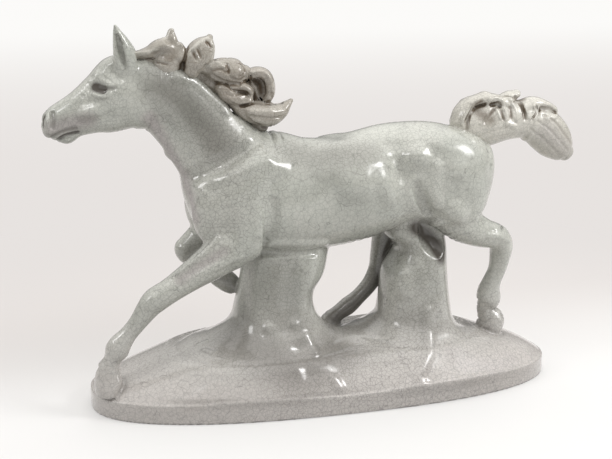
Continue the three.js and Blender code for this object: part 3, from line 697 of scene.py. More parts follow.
def neck():
    # Shares of the reach and the rise, depth, width
    sections = [
        (0, 0, 1, 1),
        (0.12, 0.17, 0.929, 0.90),
        (0.26, 0.38, 0.774, 0.76),
        (0.42, 0.56, 0.702, 0.65),
        (0.57, 0.71, 0.643, 0.575),
        (0.71, 0.84, 0.619, 0.53),
        (0.86, 0.93, 0.607, 0.50),
        (1, 0.96, 0.571, 0.467),
    ]
    stations = []
    for along, up, deep, wide in sections:
        x = neck_foot[0] - along * neck_reach
        z = neck_foot[2] + up * neck_rise
        stations.append((x, 0, z, deep * neck_depth / 2, wide * neck_width / 2))
    horse.add("neck", Limb(stations, start=8, end=5, power=2.25), 8.0)


def head_at(share, off, y=0.0):
    """A point at a share of the head's length, off its middle line by a share of half its depth."""
    along = share * head_length
    rise = off * head_depth / 2
    x = poll[0] + 0.06 * head_length - along * math.cos(head_dip) - rise * math.sin(head_dip)
    z = poll[2] + 0.035 * head_length - along * math.sin(head_dip) + rise * math.cos(head_dip)
    return (x, y, z)


def head():
    # Share of the length, off the middle line, depth, width
    sections = [
        (0.02, -0.039, 0.863, 0.80),
        (0.14, 0, 1, 0.93),
        (0.27, 0.039, 0.98, 0.97),
        (0.40, 0, 0.843, 0.90),
        (0.53, 0.02, 0.725, 0.76),
        (0.66, 0, 0.588, 0.64),
        (0.79, 0, 0.482, 0.60),
        (0.91, 0, 0.40, 0.60),
    ]
    stations = [
        head_at(at, off) + (deep * head_depth / 2, wide * head_width / 2)
        for at, off, deep, wide in sections
    ]
    horse.add("head", Limb(stations, start=8, end=5, power=2.4), 6.0)
    # Lower lip and chin
    horse.add("head", Limb([
        (-194.5, 0, 204.2, 3.6, 5.5),
        (-189.5, 0, 203.4, 4.0, 6),
        (-183, 0, 207.0, 3.5, 6),
        (-176, 0, 210.4, 3.4, 6),
    ], start=3, end=4), 1.6)
    # Forehead and ridge of the nose
    horse.add("head", Limb([
        (-151.0, 0, 253.4, 8, 11),
        (-157.5, 0, 251.4, 8, 11.5),
        (-163.0, 0, 247.2, 7.5, 11),
        (-167.5, 0, 242.8, 7, 10),
        (-172.5, 0, 238.4, 6.5, 8.5),
        (-178.2, 0, 233.2, 6, 7),
        (-185.4, 0, 228.3, 5.8, 6.2),
        (-192.4, 0, 224.4, 5.4, 6),
        (-198.0, 0, 221.2, 5, 6),
        (-201.0, 0, 216.5, 4.6, 6),
    ], start=6, end=3.5), 4.0)
    for side in (-1, 1):
        horse.add("head", Egg(head_at(0.17, -0.18, side * 6), (17, 9, 17)), 7.0)
        horse.add("head", Egg(head_at(0.918, 0.04, side * 5.5), (5.5, 4.8, 8), tilt=10), 2.5)


def ear(name, side):
    """A leaf with a scoop in its outer front and a low ridge in the scoop."""
    root = head_at(0.13, 0.7)
    back = 3.0 if side > 0 else 0.0
    height = ear_length * (0.9 if side > 0 else 1.0)

    def at(share, forward, out=0.0):
        x = root[0] + back - forward * ear_length
        y = side * (ear_spread + 0.07 * share * ear_length) + out
        return (x, y, root[2] + share * height)

    leaf = [
        at(0, 0.067) + (8, 5.4),
        at(0.2, 0.09) + (8.2, 5.8),
        at(0.38, 0.12) + (7.4, 5.6),
        at(0.62, 0.185) + (5.5, 4.6),
        at(0.84, 0.25) + (3.1, 3.0),
        at(0.98, 0.29) + (1.3, 1.5),
    ]
    horse.add(name, Limb(leaf, end=1.4), 2.5)
    scoop = [
        at(-0.12, 0.08, side * 8.0) + (2.2, 2.6),
        at(0.08, 0.11, side * 7.0) + (3.0, 3.2),
        at(0.3, 0.14, side * 6.6) + (4.2, 4.2),
        at(0.55, 0.21, side * 4.8) + (3.0, 3.8),
        at(0.8, 0.27, side * 3.2) + (1.3, 2.2),
    ]
    horse.cut(Limb(scoop, end=1.0), 1.6)
    horse.add(name, Limb([
        at(0.1, 0.02, side * 3.8) + (1.8, 1.8),
        at(0.35, 0.06, side * 4.4) + (1.5, 1.5),
        at(0.55, 0.12, side * 3.4) + (1.2, 1.2),
    ]), 1.2)


neck()
shoulders()
head()
ear("left_ear", -1)
ear("right_ear", 1)


# Legs


def foot_on(x, y):
    """The point of the dome under a hoof."""
    return (x, y, plinth.top(x, y))


def legs():
    foot = foot_on(-169, -22)
    horse.add("left_foreleg", Limb([
        barrel_at(0.16, -23, -0.335) + (16.5, 13),
        (-80, -25, 121, 16, 12.5),
        (-93, -27, 113, 13.5, 12),
        (-109, -28, 103.5, 10.8, 10.5),
        (-124, -28, 94, 9.2, 9),
        (-135, -27, 87, 9.4, 8.8),
        (-141, -26.5, 80.5, 8.2, 7.6),
        (-148, -26, 71, 6.6, 6.2),
        (-155, -25, 62.5, 6.4, 6),
        (-161, -24, 55, 8.2, 7.2),
        (-164, -23.5, 49.5, 8.6, 7.4),
        (-167, -23, 43.5, 6.4, 6.2),
        (-170, -22, 37, 8, 7.6),
    ], start=8, end=3), 7.0)
    horse.add("left_foreleg", Limb([
        (foot[0] - 2, foot[1], 17, 9.2, 9.6),
        (foot[0] - 1.5, foot[1], 24, 10.2, 10),
        (foot[0] - 1.5, foot[1], 31, 9.4, 9),
        (foot[0], foot[1], 37.5, 7.4, 7.2),
    ], start=2, end=2.5), 1.6)
    foot = foot_on(138, -6)
    horse.add("left_hind_leg", Limb([
        barrel_at(0.86, -20, -0.229) + (24, 15.5),
        (106, -20, 127, 15.5, 13.5),
        (121, -19, 119, 11.8, 11.5),
        (134.2, -17, 114.5, 9.8, 10.5),
        (139.4, -15, 107, 9.4, 9.6),
        (140.2, -13, 98, 8.4, 8.4),
        (139, -11, 86, 7.2, 6.8),
        (135.6, -9.5, 76, 7.4, 6.8),
        (133.6, -8.5, 67, 9.4, 8),
        (134, -8, 60, 9.6, 8.2),
        (131.5, -7, 53.5, 6.6, 6.4),
        (134, -6, 48, 8, 7.8),
    ], start=8, end=3), 7.0)
    horse.add("left_hind_leg", Limb([
        (foot[0] - 0.5, foot[1], foot[2] - 2, 8.6, 9),
        (foot[0] - 1, foot[1], foot[2] + 5, 11, 10.4),
        (foot[0] - 1, foot[1], foot[2] + 11, 11, 10),
        (foot[0] - 4, foot[1], foot[2] + 16.5, 7.4, 7.4),
    ], start=2, end=3), 1.6)
    foot = foot_on(8, 20)
    horse.add("right_hind_leg", Limb([
        barrel_at(0.745, 24, -0.229) + (25, 14),
        (62, 24, 120, 16, 12.5),
        (56, 24, 106, 10.5, 10),
        (52.5, 23, 94, 8.2, 8.6),
        (50.5, 23, 84, 7.4, 7.6),
        (44, 22, 72, 6.6, 6.8),
        (34, 21, 62, 6.2, 6.4),
        (25, 20.5, 55, 7.2, 7.2),
        (17, 20, 50, 6.2, 6.6),
        (12, 20, 46, 7.2, 7.4),
    ], start=8, end=3), 7.0)
    horse.add("right_hind_leg", Limb([
        (foot[0] + 2, foot[1], foot[2] - 1, 8.8, 8.6),
        (foot[0] + 2, foot[1], foot[2] + 5, 9, 8.6),
        (foot[0] + 4.5, foot[1], foot[2] + 10, 7, 7),
    ], start=2, end=2.5), 1.6)
    folded_foreleg()


def folded_foreleg():
    elbow = barrel_at(0.14, 23, -0.333)
    knee = (elbow[0] - 33, 20, elbow[2] - 18)
    shin = 46
    fold = math.radians(40)
    tip = (knee[0] + shin * math.cos(fold), 15, knee[2] - shin * math.sin(fold))

    def between(share, drop):
        x, y, z = (k + share * (t - k) for k, t in zip(knee, tip))
        return (x, y, z - drop)

    horse.add("right_foreleg", Limb([
        elbow + (18, 13),
        ((elbow[0] + knee[0]) / 2, (elbow[1] + knee[1]) / 2, elbow[2] - 7, 14, 12),
        knee + (10.5, 9.5),
    ], start=6, end=9), 7.0)
    horse.add("right_foreleg", Limb([
        between(0.05, 0) + (9, 8),
        between(0.35, 2) + (6.8, 6.5),
        between(0.65, 2) + (7.6, 7),
        between(0.85, 0) + (8.8, 7.8),
        tip + (7.6, 7.4),
    ], start=5, end=4), 3.0)


legs()


# Brush strokes: muscles, folds and the face


def relief():
    # Shoulder, upper arm and chest
    horse.brush_all([
        # The groove along the shoulder's ledge, with painted shade in it
        ([(-106, 174), (-95, 179.5), (-82, 185.5), (-70, 191.5)], 8.5, -3.0, 0.25),
        ([(-72, 190), (-64, 194), (-58, 197)], 9, -1.0),
        ([(-101, 166), (-91, 171.5), (-79, 176.5), (-66, 182), (-53, 187)], 8, 2.2),
        ([(-45, 181)], 15, 3.8),
        ([(-63, 158), (-60, 146), (-61, 134)], 8, 1.6),
        ([(-49, 156), (-49, 142), (-52, 128)], 7.5, -2.6),
        ([(-82, 152), (-84, 140)], 9, -1.6),
        ([(-97, 164)], 5, 1.0),
    ])
    # Forearm of the reaching leg; the valley between its ridges has painted shade, lilac and dull
    ridge = [(-90, -33, 132), (-94.5, -33, 127.3), (-100.7, -34.2, 122.7), (-108.9, -35, 116.8)]
    valley = [(-86, -38, 123), (-95, -37.5, 118), (-104, -36.5, 112.5), (-118, -36, 103)]
    lower_ridge = [(-74.6, -38.2, 118), (-87.9, -38.6, 113), (-100.1, -38.1, 109), (-113, -36.5, 103)]
    horse.mark(ridge + [(-124, -34.5, 106.5)], 4.0, 2.0)
    horse.mark(valley, 7.0, -1.4, stain_and_shade=0.2, tint=0.8)
    horse.mark(lower_ridge, 4.5, 1.0)
    horse.brush(-1, [(-138, 92), (-143, 86)], 5, 1.2)
    # Withers, back, ribs, flank and haunch
    for side in (-1, 1):
        horse.mark([(-62, side * 17, 199), (-57.5, side * 20, 194)], 10.0, 1.8)
    horse.brush_all([
        ([(-10, 176), (15, 176), (32, 178)], 14, 1.2),
        ([(8, 165), (18, 165)], 17, 3.0),
        ([(34, 166), (40, 155)], 13, 2.6),
        ([(42, 191), (57, 190), (70, 189)], 9, -1.4),
        ([(47, 181), (51, 170)], 12, -2.4),
        # The flank's pocket, with painted shade in it
        ([(62.5, 160), (67, 149), (72, 141)], 7.5, -5.0, 0.2),
        ([(63.5, 156), (67.5, 147), (73, 139)], 4.5, -2.4, 0.5),
        ([(61, 184.5)], 16, 5.2),
        ([(77, 185)], 12, -1.4),
        ([(91, 173)], 13, 1.3),
        ([(91, 161), (88, 155)], 12, -1.8),
        ([(76, 176), (74, 160), (78, 146)], 8, 2.0),
        ([(92, 140.5)], 14, 6.6),
        # Painted shade on the back
        ([(-30, 190), (0, 187), (22, 188)], 30, 0.0, 0.42),
        ([(106, 129), (92, 127)], 8, -1.2),
        # Neck, darker than the rest by painted shade, and lilac along its front
        ([(-122, 240), (-98, 216), (-86, 199)], 34, 0.0, 0.62),
        ([(-133, 217), (-122, 198), (-108, 168), (-104, 145)], 11, 0.0, 0.0, 1.0),
        ([(-112, 246), (-99, 242), (-89, 233), (-77, 221)], 9, 2.2),
        ([(-103, 250), (-92, 242), (-80, 231), (-70, 219)], 7, -1.8),
        ([(-141, 243), (-135, 232), (-130, 221), (-125, 210)], 9, -0.9),
        ([(-122, 215), (-114, 201), (-107, 187), (-102, 176)], 7, -2.2),
        ([(-129, 208), (-120, 190), (-113, 174)], 6, 1.0),
    ])
    # Hocks
    horse.brush(-1, [(126, 123), (136, 122), (145, 119)], 2.6, -1.8, stain_and_shade=0.3)
    horse.brush(-1, [(122, 119), (134, 117), (142, 112)], 4, 1.2)


def mounds():
    horse.brush_all([
        # Front support and the dome before it
        ([(-63, 108), (-66, 88), (-68, 68)], 11, -1.2),
        ([(-34, 104), (-36, 80), (-38, 60)], 12, -1.8),
        ([(-16, 106), (-22, 84), (-22, 62)], 11, 1.4),
        ([(-53, 61)], 7, 1.4),
        ([(-33, 62)], 7, 1.2),
        ([(-24, 52), (-20, 44)], 8, 1.5),
        ([(-10, 26), (-7, 21)], 7, 1.5),
        ([(-9, 40), (-3, 31)], 10, -0.7),
        ([(-32, 46), (-29, 32)], 9, -1.0),
        # Rear support
        ([(68, 112), (76, 94), (79, 76)], 9, -1.4),
        ([(54, 90), (55, 80)], 13, 2.4),
        # Seam of the front support under the belly
        ([(-52, 115.5), (-35, 114), (-15, 113.5)], 5, -2.4),
        ([(-50, 124), (-30, 122), (-10, 120.5)], 8, 2.6),
        ([(-54, 111), (-47, 111)], 3.5, 1.2),
        # Fold of the dome before the rear support
        ([(73, 62), (72, 50), (69, 40), (62, 31), (54, 24)], 9, 2.4),
        ([(84, 44), (80, 32)], 12, -0.6),
        ([(46, 19), (58, 19)], 6, 1.2),
        # Painted shadow of the figure on the mounds, painted shade on the supports, and a painted shadow
        # under the thigh
        ([(-77, 50), (-54, 44), (-32, 36), (0, 42)], 38, 0.0, 0.58),
        ([(-38, 100), (-40, 72), (-30, 50)], 34, 0.0, 0.42),
        ([(68, 108), (72, 84), (66, 56)], 32, 0.0, 0.28),
        ([(66, 127), (74, 121), (82, 112), (86, 103)], 12, 0.0, 1.3),
    ])
    # Painted shade on the far legs
    thigh = [(58, 16, 116), (54, 14, 100), (50, 14, 84)]
    shank = [(44, 13, 72), (34, 13, 62), (22, 14, 53), (12, 14, 48)]
    horse.mark(thigh + shank, 15, 0.0, stain_and_shade=0.85)
    horse.mark([(-88, 14, 118), (-104, 13, 110), (-88, 11, 96), (-71, 8, 82)], 16, 0.0, stain_and_shade=0.55)
    # Two small folds on the mound's left end, and duller lilac glaze
    horse.mark([(-101.2, -10.5, 45), (-96, -10.5, 46.4)], 4.5, 1.3)
    horse.mark([(-99.6, -22.5, 44.4), (-94.3, -30, 44.1)], 4.5, 1.3)
    horse.brush(0, [(88, 32), (100, 26), (125, 20), (140, 22)], 38, 0.0, tint=0.85)
    horse.brush(0, [(-118, 15), (-107, 20), (-97, 26)], 13, 0.0, tint=0.7)


relief()
mounds()


def face():
    lid = [(-171, -12.4, 235.4), (-167.5, -13.6, 233.6), (-163.5, -14.4, 234), (-160.8, -14.2, 236.4)]
    nostril = [(-205.4, -4.5, 220.5), (-205.6, -5, 217), (-205.4, -7, 213.5)]
    hollow = [(-199.6, -5.8, 221.6), (-199.7, -7.8, 218), (-200.2, -9.8, 213.5)]
    shade = [(-198.7, -7.4, 217.6), (-192, -9.3, 217.7)]
    rim = [(-202.6, -6.4, 222.3), (-203.2, -9.4, 219), (-203.7, -9.6, 214), (-203.9, -9.7, 210)]
    upper_lip = [(-201, -8, 206), (-196.5, -8.6, 208.2), (-190.9, -8.7, 210.1), (-184, -8.7, 211.3)]
    mouth = [(-196.5, -4.9, 203.6), (-192.4, -6.5, 206.3), (-186.8, -6.6, 207.9), (-182.6, -6.6, 208.7)]
    # Painted shade darkens the nostril's slot, the hollow and the shade behind it, and the lines of the
    # lips; the lid and the nostril's rim wipe it off
    for side in (-1, 1):
        horse.cut(Egg((-166.2, side * 15.4, 238.9), (6.4, 4.6, 4.5), tilt=18), 0.8)
        for path, width, height, stain_and_shade in (
            (lid, 3.0, 2.6, -0.9),
            (nostril, 2.6, -1.2, 1.5),
            (hollow, 4.0, -1.5, 0.6),
            (shade, 8.0, 0.0, 0.25),
            (rim, 3.2, 1.6, -0.9),
            (upper_lip, 2.4, -1.1, 0.9),
            (mouth, 2.3, -1.6, 1.5),
        ):
            horse.mark([(x, -side * y, z) for x, y, z in path], width, height, stain_and_shade)
    # Brow, eye, cheek and muzzle
    horse.brush_all([
        ([(-172.5, 244), (-165.5, 244.8), (-158.5, 240.6)], 3.0, 0.9),
        ([(-169, 239.7), (-164.4, 238.1)], 6.0, 0.0, 1.9),
        # Painted shade in the groove at the eye's corner
        ([(-160.5, 238.6), (-156.5, 239.6)], 3.0, -0.9, 0.5),
        ([(-168, 248)], 6, 1.6),
        ([(-158, 252), (-153, 246)], 7, -1.4),
        ([(-177.5, 221.5), (-171, 223)], 8.5, 3.4),
        ([(-200, 212), (-188, 214), (-176, 217)], 12, 0.0, 0.2, 0.9),
        ([(-178.3, 234)], 2.2, -0.8, 0.4),
        ([(-178, 218), (-168, 219), (-160, 219)], 7, -1.0),
    ])


face()


# Materials


lilac_glaze = (0.475, 0.445, 0.43)
warm_and_lit_glaze = (0.64, 0.61, 0.555)
glossy_roughness = 0.2
dull_roughness = 0.48
glossy_coat = 0.6
dull_coat = 0.04


class Graph:
    """A node tree. A value for a socket is an output to link, a number, a colour or a list."""

    def __init__(self, owner):
        owner.use_nodes = True
        self.nodes = owner.node_tree.nodes
        self.links = owner.node_tree.links

    def fill(self, node, values):
        """Puts values on a node's sockets, which are given by name or number."""
        for key, value in values.items():
            if isinstance(value, bpy.types.NodeSocket):
                self.links.new(value, node.inputs[key])
            else:
                node.inputs[key].default_value = value + (1.0,) if isinstance(value, tuple) else value
        return node

    def node(self, kind, values, **properties):
        """Adds a node, and gives its outputs."""
        node = self.nodes.new("ShaderNode" + kind)
        for key, value in properties.items():
            setattr(node, key, value)
        return self.fill(node, values).outputs

    def noise(self, place, scale, detail=2.0, roughness=0.5):
        values = {"Vector": place, "Scale": scale, "Detail": detail, "Roughness": roughness}
        return self.node("TexNoise", values)

    def mixed(self, factor, first, second, blend="MIX"):
        """A mix of two colours. Sockets 6, 7 and 2 are the colour ones."""
        values = {0: factor, 6: first, 7: second}
        return self.node("Mix", values, data_type="RGBA", blend_type=blend)[2]

    def calculated(self, operation, first, second):
        return self.node("Math", {0: first, 1: second}, operation=operation)[0]

    def ranged(self, value, low, high, to_low=0.0, to_high=1.0, kind="SMOOTHSTEP"):
        """Carries an output from the range low to high over to another range."""
        values = {"Value": value, "From Min": low, "From Max": high, "To Min": to_low, "To Max": to_high}
        return self.node("MapRange", values, interpolation_type=kind)["Result"]

    def crackle(self, place, scale, width, warp):
        """Thin cracks between cells of one size: 1 on a crack, 0 off it."""
        wander = self.noise(place, scale * 0.6)["Color"]
        moved = self.node("VectorMath", {0: wander, 1: [warp] * 3, 2: place}, operation="MULTIPLY_ADD")
        values = {"Vector": moved["Vector"], "Scale": scale}
        edge = self.node("TexVoronoi", values, feature="DISTANCE_TO_EDGE")["Distance"]
        return self.ranged(edge, 0.0, width, 1.0, 0.0, "LINEAR")

    def attribute(self, name):
        """A mesh's own value at each vertex."""
        return self.node("Attribute", {}, attribute_name=name)["Fac"]

    def place(self, kind="Object"):
        """The position, and its parts X, Y and Z."""
        place = self.node("TexCoord", {})[kind]
        return place, self.node("SeparateXYZ", {0: place})


def glaze(name, pale, deep, warm, stain_and_shade_colour, hollow_stain_and_shade):
    """A crackle glaze, clouded from pale to deep, and darkened in hollows and under strokes by stain, pooled
    glaze and painted shade.
    """
    material = bpy.data.materials.new(name)
    graph = Graph(material)
    place, split = graph.place()
    cloud = graph.noise(place, 22.0, 3.0, 0.55)["Fac"]
    blotch = graph.noise(place, 9.0)["Fac"]
    speck = graph.noise(place, 420.0)["Fac"]
    tint = graph.attribute("tint")
    colour = graph.mixed(graph.ranged(cloud, 0.35, 0.68), pale, deep)
    colour = graph.mixed(graph.ranged(blotch, 0.45, 0.7, 0.0, 0.4), colour, warm)
    # The low dome is warmer, and lighter as painted light, and the plinth's side more lilac
    colour = graph.mixed(graph.ranged(split["Z"], 0.018, 0.045, 0.8, 0.0), colour, warm_and_lit_glaze)
    rim = graph.ranged(split["Z"], 0.011, 0.11, 0.75, 0.0)
    colour = graph.mixed(graph.calculated("MAXIMUM", rim, tint), colour, lilac_glaze)
    colour = graph.mixed(1.0, colour, graph.ranged(speck, 0.3, 0.7, 0.94, 1.04), "MULTIPLY")
    wide_cracks = graph.crackle(place, 185.0, 0.03, 0.003)
    fine_cracks = graph.crackle(place, 350.0, 0.07, 0.0014)
    patches = graph.ranged(blotch, 0.35, 0.6, 0.55, 1.0)
    fine_cracks = graph.calculated("MULTIPLY", fine_cracks, patches)
    lines = graph.calculated("MAXIMUM", wide_cracks, fine_cracks)
    colour = graph.mixed(1.0, colour, graph.ranged(lines, 0.0, 1.0, 1.0, 0.6, "LINEAR"), "MULTIPLY")
    # Painted shade and pooled glaze in hollows, and stain and painted shade under strokes
    hollow_pooling_and_shade = graph.ranged(graph.attribute("hollow"), 0.05, 0.6, 0.0, hollow_stain_and_shade)
    darkened_by_stain_and_shade = graph.calculated("MAXIMUM", hollow_pooling_and_shade, graph.attribute("stain_and_shade"))
    wave = graph.noise(place, 95.0, 3.0)["Fac"]
    shader = graph.nodes["Principled BSDF"]
    graph.fill(shader, {
        "Roughness": glossy_roughness,
        "IOR": 1.5,
        "Coat Weight": glossy_coat,
        "Coat Roughness": 0.09,
        "Coat IOR": 1.5,
    })
    # The thin lilac glaze is duller than the rest
    graph.fill(shader, {
        "Base Color": graph.mixed(darkened_by_stain_and_shade, colour, stain_and_shade_colour),
        "Roughness": graph.ranged(tint, 0.05, 0.6, glossy_roughness, dull_roughness),
        "Coat Weight": graph.ranged(tint, 0.05, 0.6, glossy_coat, dull_coat),
        "Normal": graph.node("Bump", {"Height": wave, "Strength": 0.1, "Distance": 0.0012})["Normal"],
    })
    return material


body_glaze = glaze(
    "crackle_glaze",
    pale=(0.555, 0.56, 0.51),
    deep=(0.455, 0.465, 0.42),
    warm=(0.52, 0.505, 0.465),
    stain_and_shade_colour=(0.09, 0.08, 0.068),
    hollow_stain_and_shade=0.3,
)
lock_glaze = glaze(
    "stained_glaze",
    pale=(0.65, 0.63, 0.57),
    deep=(0.53, 0.51, 0.45),
    warm=(0.55, 0.48, 0.41),
    stain_and_shade_colour=(0.115, 0.082, 0.05),
    hollow_stain_and_shade=0.9,
)


# The body's mesh

body_axes = (
    spaced(-212, 190, [(-122, 1.0), (200, 1.7)]),
    spaced(-71, 71, [(-20, 1.6), (18, 1.1), (80, 1.8)]),
    spaced(-3, 290, [(22, 1.4), (192, 1.7), (300, 1.0)]),
)
make_pieces(horse, body_axes, body_glaze)


# Mane and tail


def mane():
    locks = Sculpture()
    locks.ground = 0.46

    def lock(number, stations, y=-4.0, **caps):
        rows = [(x, y, z, deep, wide) for x, z, deep, wide in stations]
        locks.add(f"mane_lock_{number}", Limb(rows, **caps), 1.6)

    lock(1, [(-140, 260.5, 2.6, 4.5), (-131, 262.5, 4.2, 7), (-122, 265, 7, 8.5),
             (-112, 261.5, 8, 8.5)], start=2.5)
    lock(1, [(-119, 250, 10, 7), (-118, 258, 10, 8), (-115.6, 265, 7.6, 7.4), (-114.4, 271.5, 4, 4.6),
             (-114.6, 277, 1.8, 2.2)], start=4, end=1.5)
    lock(2, [(-101, 249, 6, 9), (-98, 255, 9.3, 11), (-94, 262, 9.8, 10.5), (-90, 268, 7, 7.5),
             (-87.5, 272, 2.4, 3.4)], y=-5)
    lock(3, [(-93, 250, 3.6, 6), (-87, 249, 7, 10), (-77, 248, 9.6, 12.5), (-68.5, 246.5, 9.6, 12.5),
             (-63, 246, 6, 9)])
    lock(4, [(-60, 244, 4, 6), (-54, 246, 4.4, 8), (-48, 244.5, 4.6, 8.5), (-44.7, 239, 4.4, 8),
             (-44.3, 232, 4.4, 7), (-46.5, 226, 4, 6)])
    lock(4, [(-62, 243, 6, 7), (-56, 238, 7, 7), (-51, 233, 7, 6), (-50, 226, 6, 6)], y=0)
    lock(5, [(-80, 236, 5, 9), (-76, 232, 7, 11), (-69, 228.5, 6.5, 12), (-61, 227.5, 4.5, 11)])
    lock(5, [(-73, 237, 3.5, 10), (-66, 237, 4.5, 11.5), (-60, 234, 3.6, 11), (-60, 229.5, 3, 10)])
    lock(6, [(-72, 224, 3, 7), (-63, 219.5, 7.4, 11.5), (-53, 217, 9.2, 12), (-44, 215.5, 9.2, 12),
             (-36, 217.8, 6.3, 9), (-31, 221.8, 3.4, 5), (-27.6, 225, 1.5, 2)], end=1.5)
    # Roots along the crest of the neck
    lock(1, [(-137, 256, 4.5, 5), (-126, 255, 6, 6), (-114, 251, 7, 6)], y=0)
    lock(2, [(-108, 251, 6, 5), (-98, 246, 8, 6)], y=0)
    lock(3, [(-94, 244, 7, 6), (-82, 237, 7, 6)], y=0)
    lock(5, [(-82, 234, 6, 6), (-72, 226, 6, 6)], y=0)
    lock(6, [(-62, 216, 6, 6), (-50, 207, 6, 6)], y=0)
    locks.brush_all([
        # First lock: brown hollow under a pale rim
        ([(-127, 261.5), (-120, 262.5), (-112, 264)], 6.5, -3.2, 1.0),
        ([(-117, 270), (-113, 268)], 4.5, -1.8, 0.8),
        ([(-140, 262.5), (-129, 264), (-119, 272), (-114, 278)], 3.0, 1.0, -0.9),
        ([(-138, 259), (-127, 256), (-118, 254)], 2.4, -1.0, 0.9),
        ([(-110.5, 274), (-108, 267), (-103, 263)], 2.4, 0.8, 0.0),
        ([(-122, 260), (-116, 259), (-112, 264)], 8.0, -1.0, 0.8),
        # Second lock: two slots in a leaf
        ([(-101.5, 263), (-99.5, 258)], 2.4, -2.4, 2.2),
        ([(-98, 264.5), (-95.8, 259)], 2.4, -2.4, 2.2),
        ([(-91.5, 270), (-88, 266)], 2.4, -1.8, 2.0),
        ([(-98, 259), (-93, 264)], 9.0, -0.6, 0.55),
        ([(-104, 261), (-98, 267.5), (-90, 272)], 3.4, 0.8, -0.8),
        ([(-86.5, 270), (-85.5, 263), (-87, 257)], 3.6, 1.0, -0.9),
        ([(-92, 252), (-90, 247), (-93, 243)], 3.6, -3.4, 1.0),
        # Third lock: rolls
        ([(-90, 252), (-85, 255), (-80, 252.5)], 3.0, 1.0, -0.7),
        ([(-88, 249), (-82, 250.5), (-78, 248)], 2.4, -1.4, 1.2),
        ([(-77, 253.5), (-76.4, 247.5)], 2.3, -2.6, 2.2),
        ([(-74, 244), (-69, 242), (-64, 244)], 2.6, -1.4, 1.0),
        ([(-69, 254.5), (-64.5, 252), (-64.5, 246.5), (-69, 245)], 2.2, -1.2, 1.1),
        ([(-82, 256.5), (-73, 257.5), (-64, 255.5)], 1.6, -0.9, 0.9),
        ([(-88, 246), (-78, 241), (-69, 239)], 2.8, -2.4, 0.9),
        # Fourth lock: an arch over a dark hollow
        ([(-54, 241), (-50.5, 238), (-49.5, 232)], 5.0, -4.2, 1.8),
        ([(-58, 247), (-50, 247.5), (-44.5, 242), (-43, 233)], 2.4, 0.9, -0.6),
        ([(-57, 243.5), (-51, 243.8), (-47.5, 239)], 1.5, 0.8, 0.0),
        ([(-60, 246), (-60, 239)], 2.4, -2.0, 0.8),
        ([(-44, 231), (-42.5, 227)], 3.0, -0.6, 0.7),
        # Fifth lock: a small roll with a hollow
        ([(-70, 233), (-64, 233.5)], 2.8, -2.2, 0.9),
        ([(-79, 233), (-73, 231), (-70, 233)], 1.8, -1.2, 0.8),
        ([(-75, 228.5), (-68, 225.5), (-61, 226.5)], 1.8, 1.0, 0.1),
        ([(-78, 237), (-75, 234.5)], 2.0, 1.0, 0.1),
        ([(-66, 229.5), (-61, 231)], 1.6, -1.0, 0.8),
        # Sixth lock: a bowl with a horn
        ([(-66, 224), (-57, 225.5), (-47, 224.5), (-36, 223.5)], 3.4, -1.8, 0.9),
        ([(-60, 220), (-48, 219.5), (-36, 219)], 4.0, 0.7, -0.6),
        ([(-62, 216.5), (-50, 214.5), (-38, 214.5)], 1.8, -0.9, 0.4),
        ([(-58, 213), (-48, 210.5), (-39, 211.5)], 3.0, 0.7, -0.6),
        ([(-66, 219), (-58, 211), (-47, 206)], 3.0, -1.4, 0.6),
    ])
    axes = [spaced(low, high, [(high, 1.0)]) for low, high in ((-150, -20), (-24, 16), (192, 286))]
    make_pieces(locks, axes, lock_glaze)


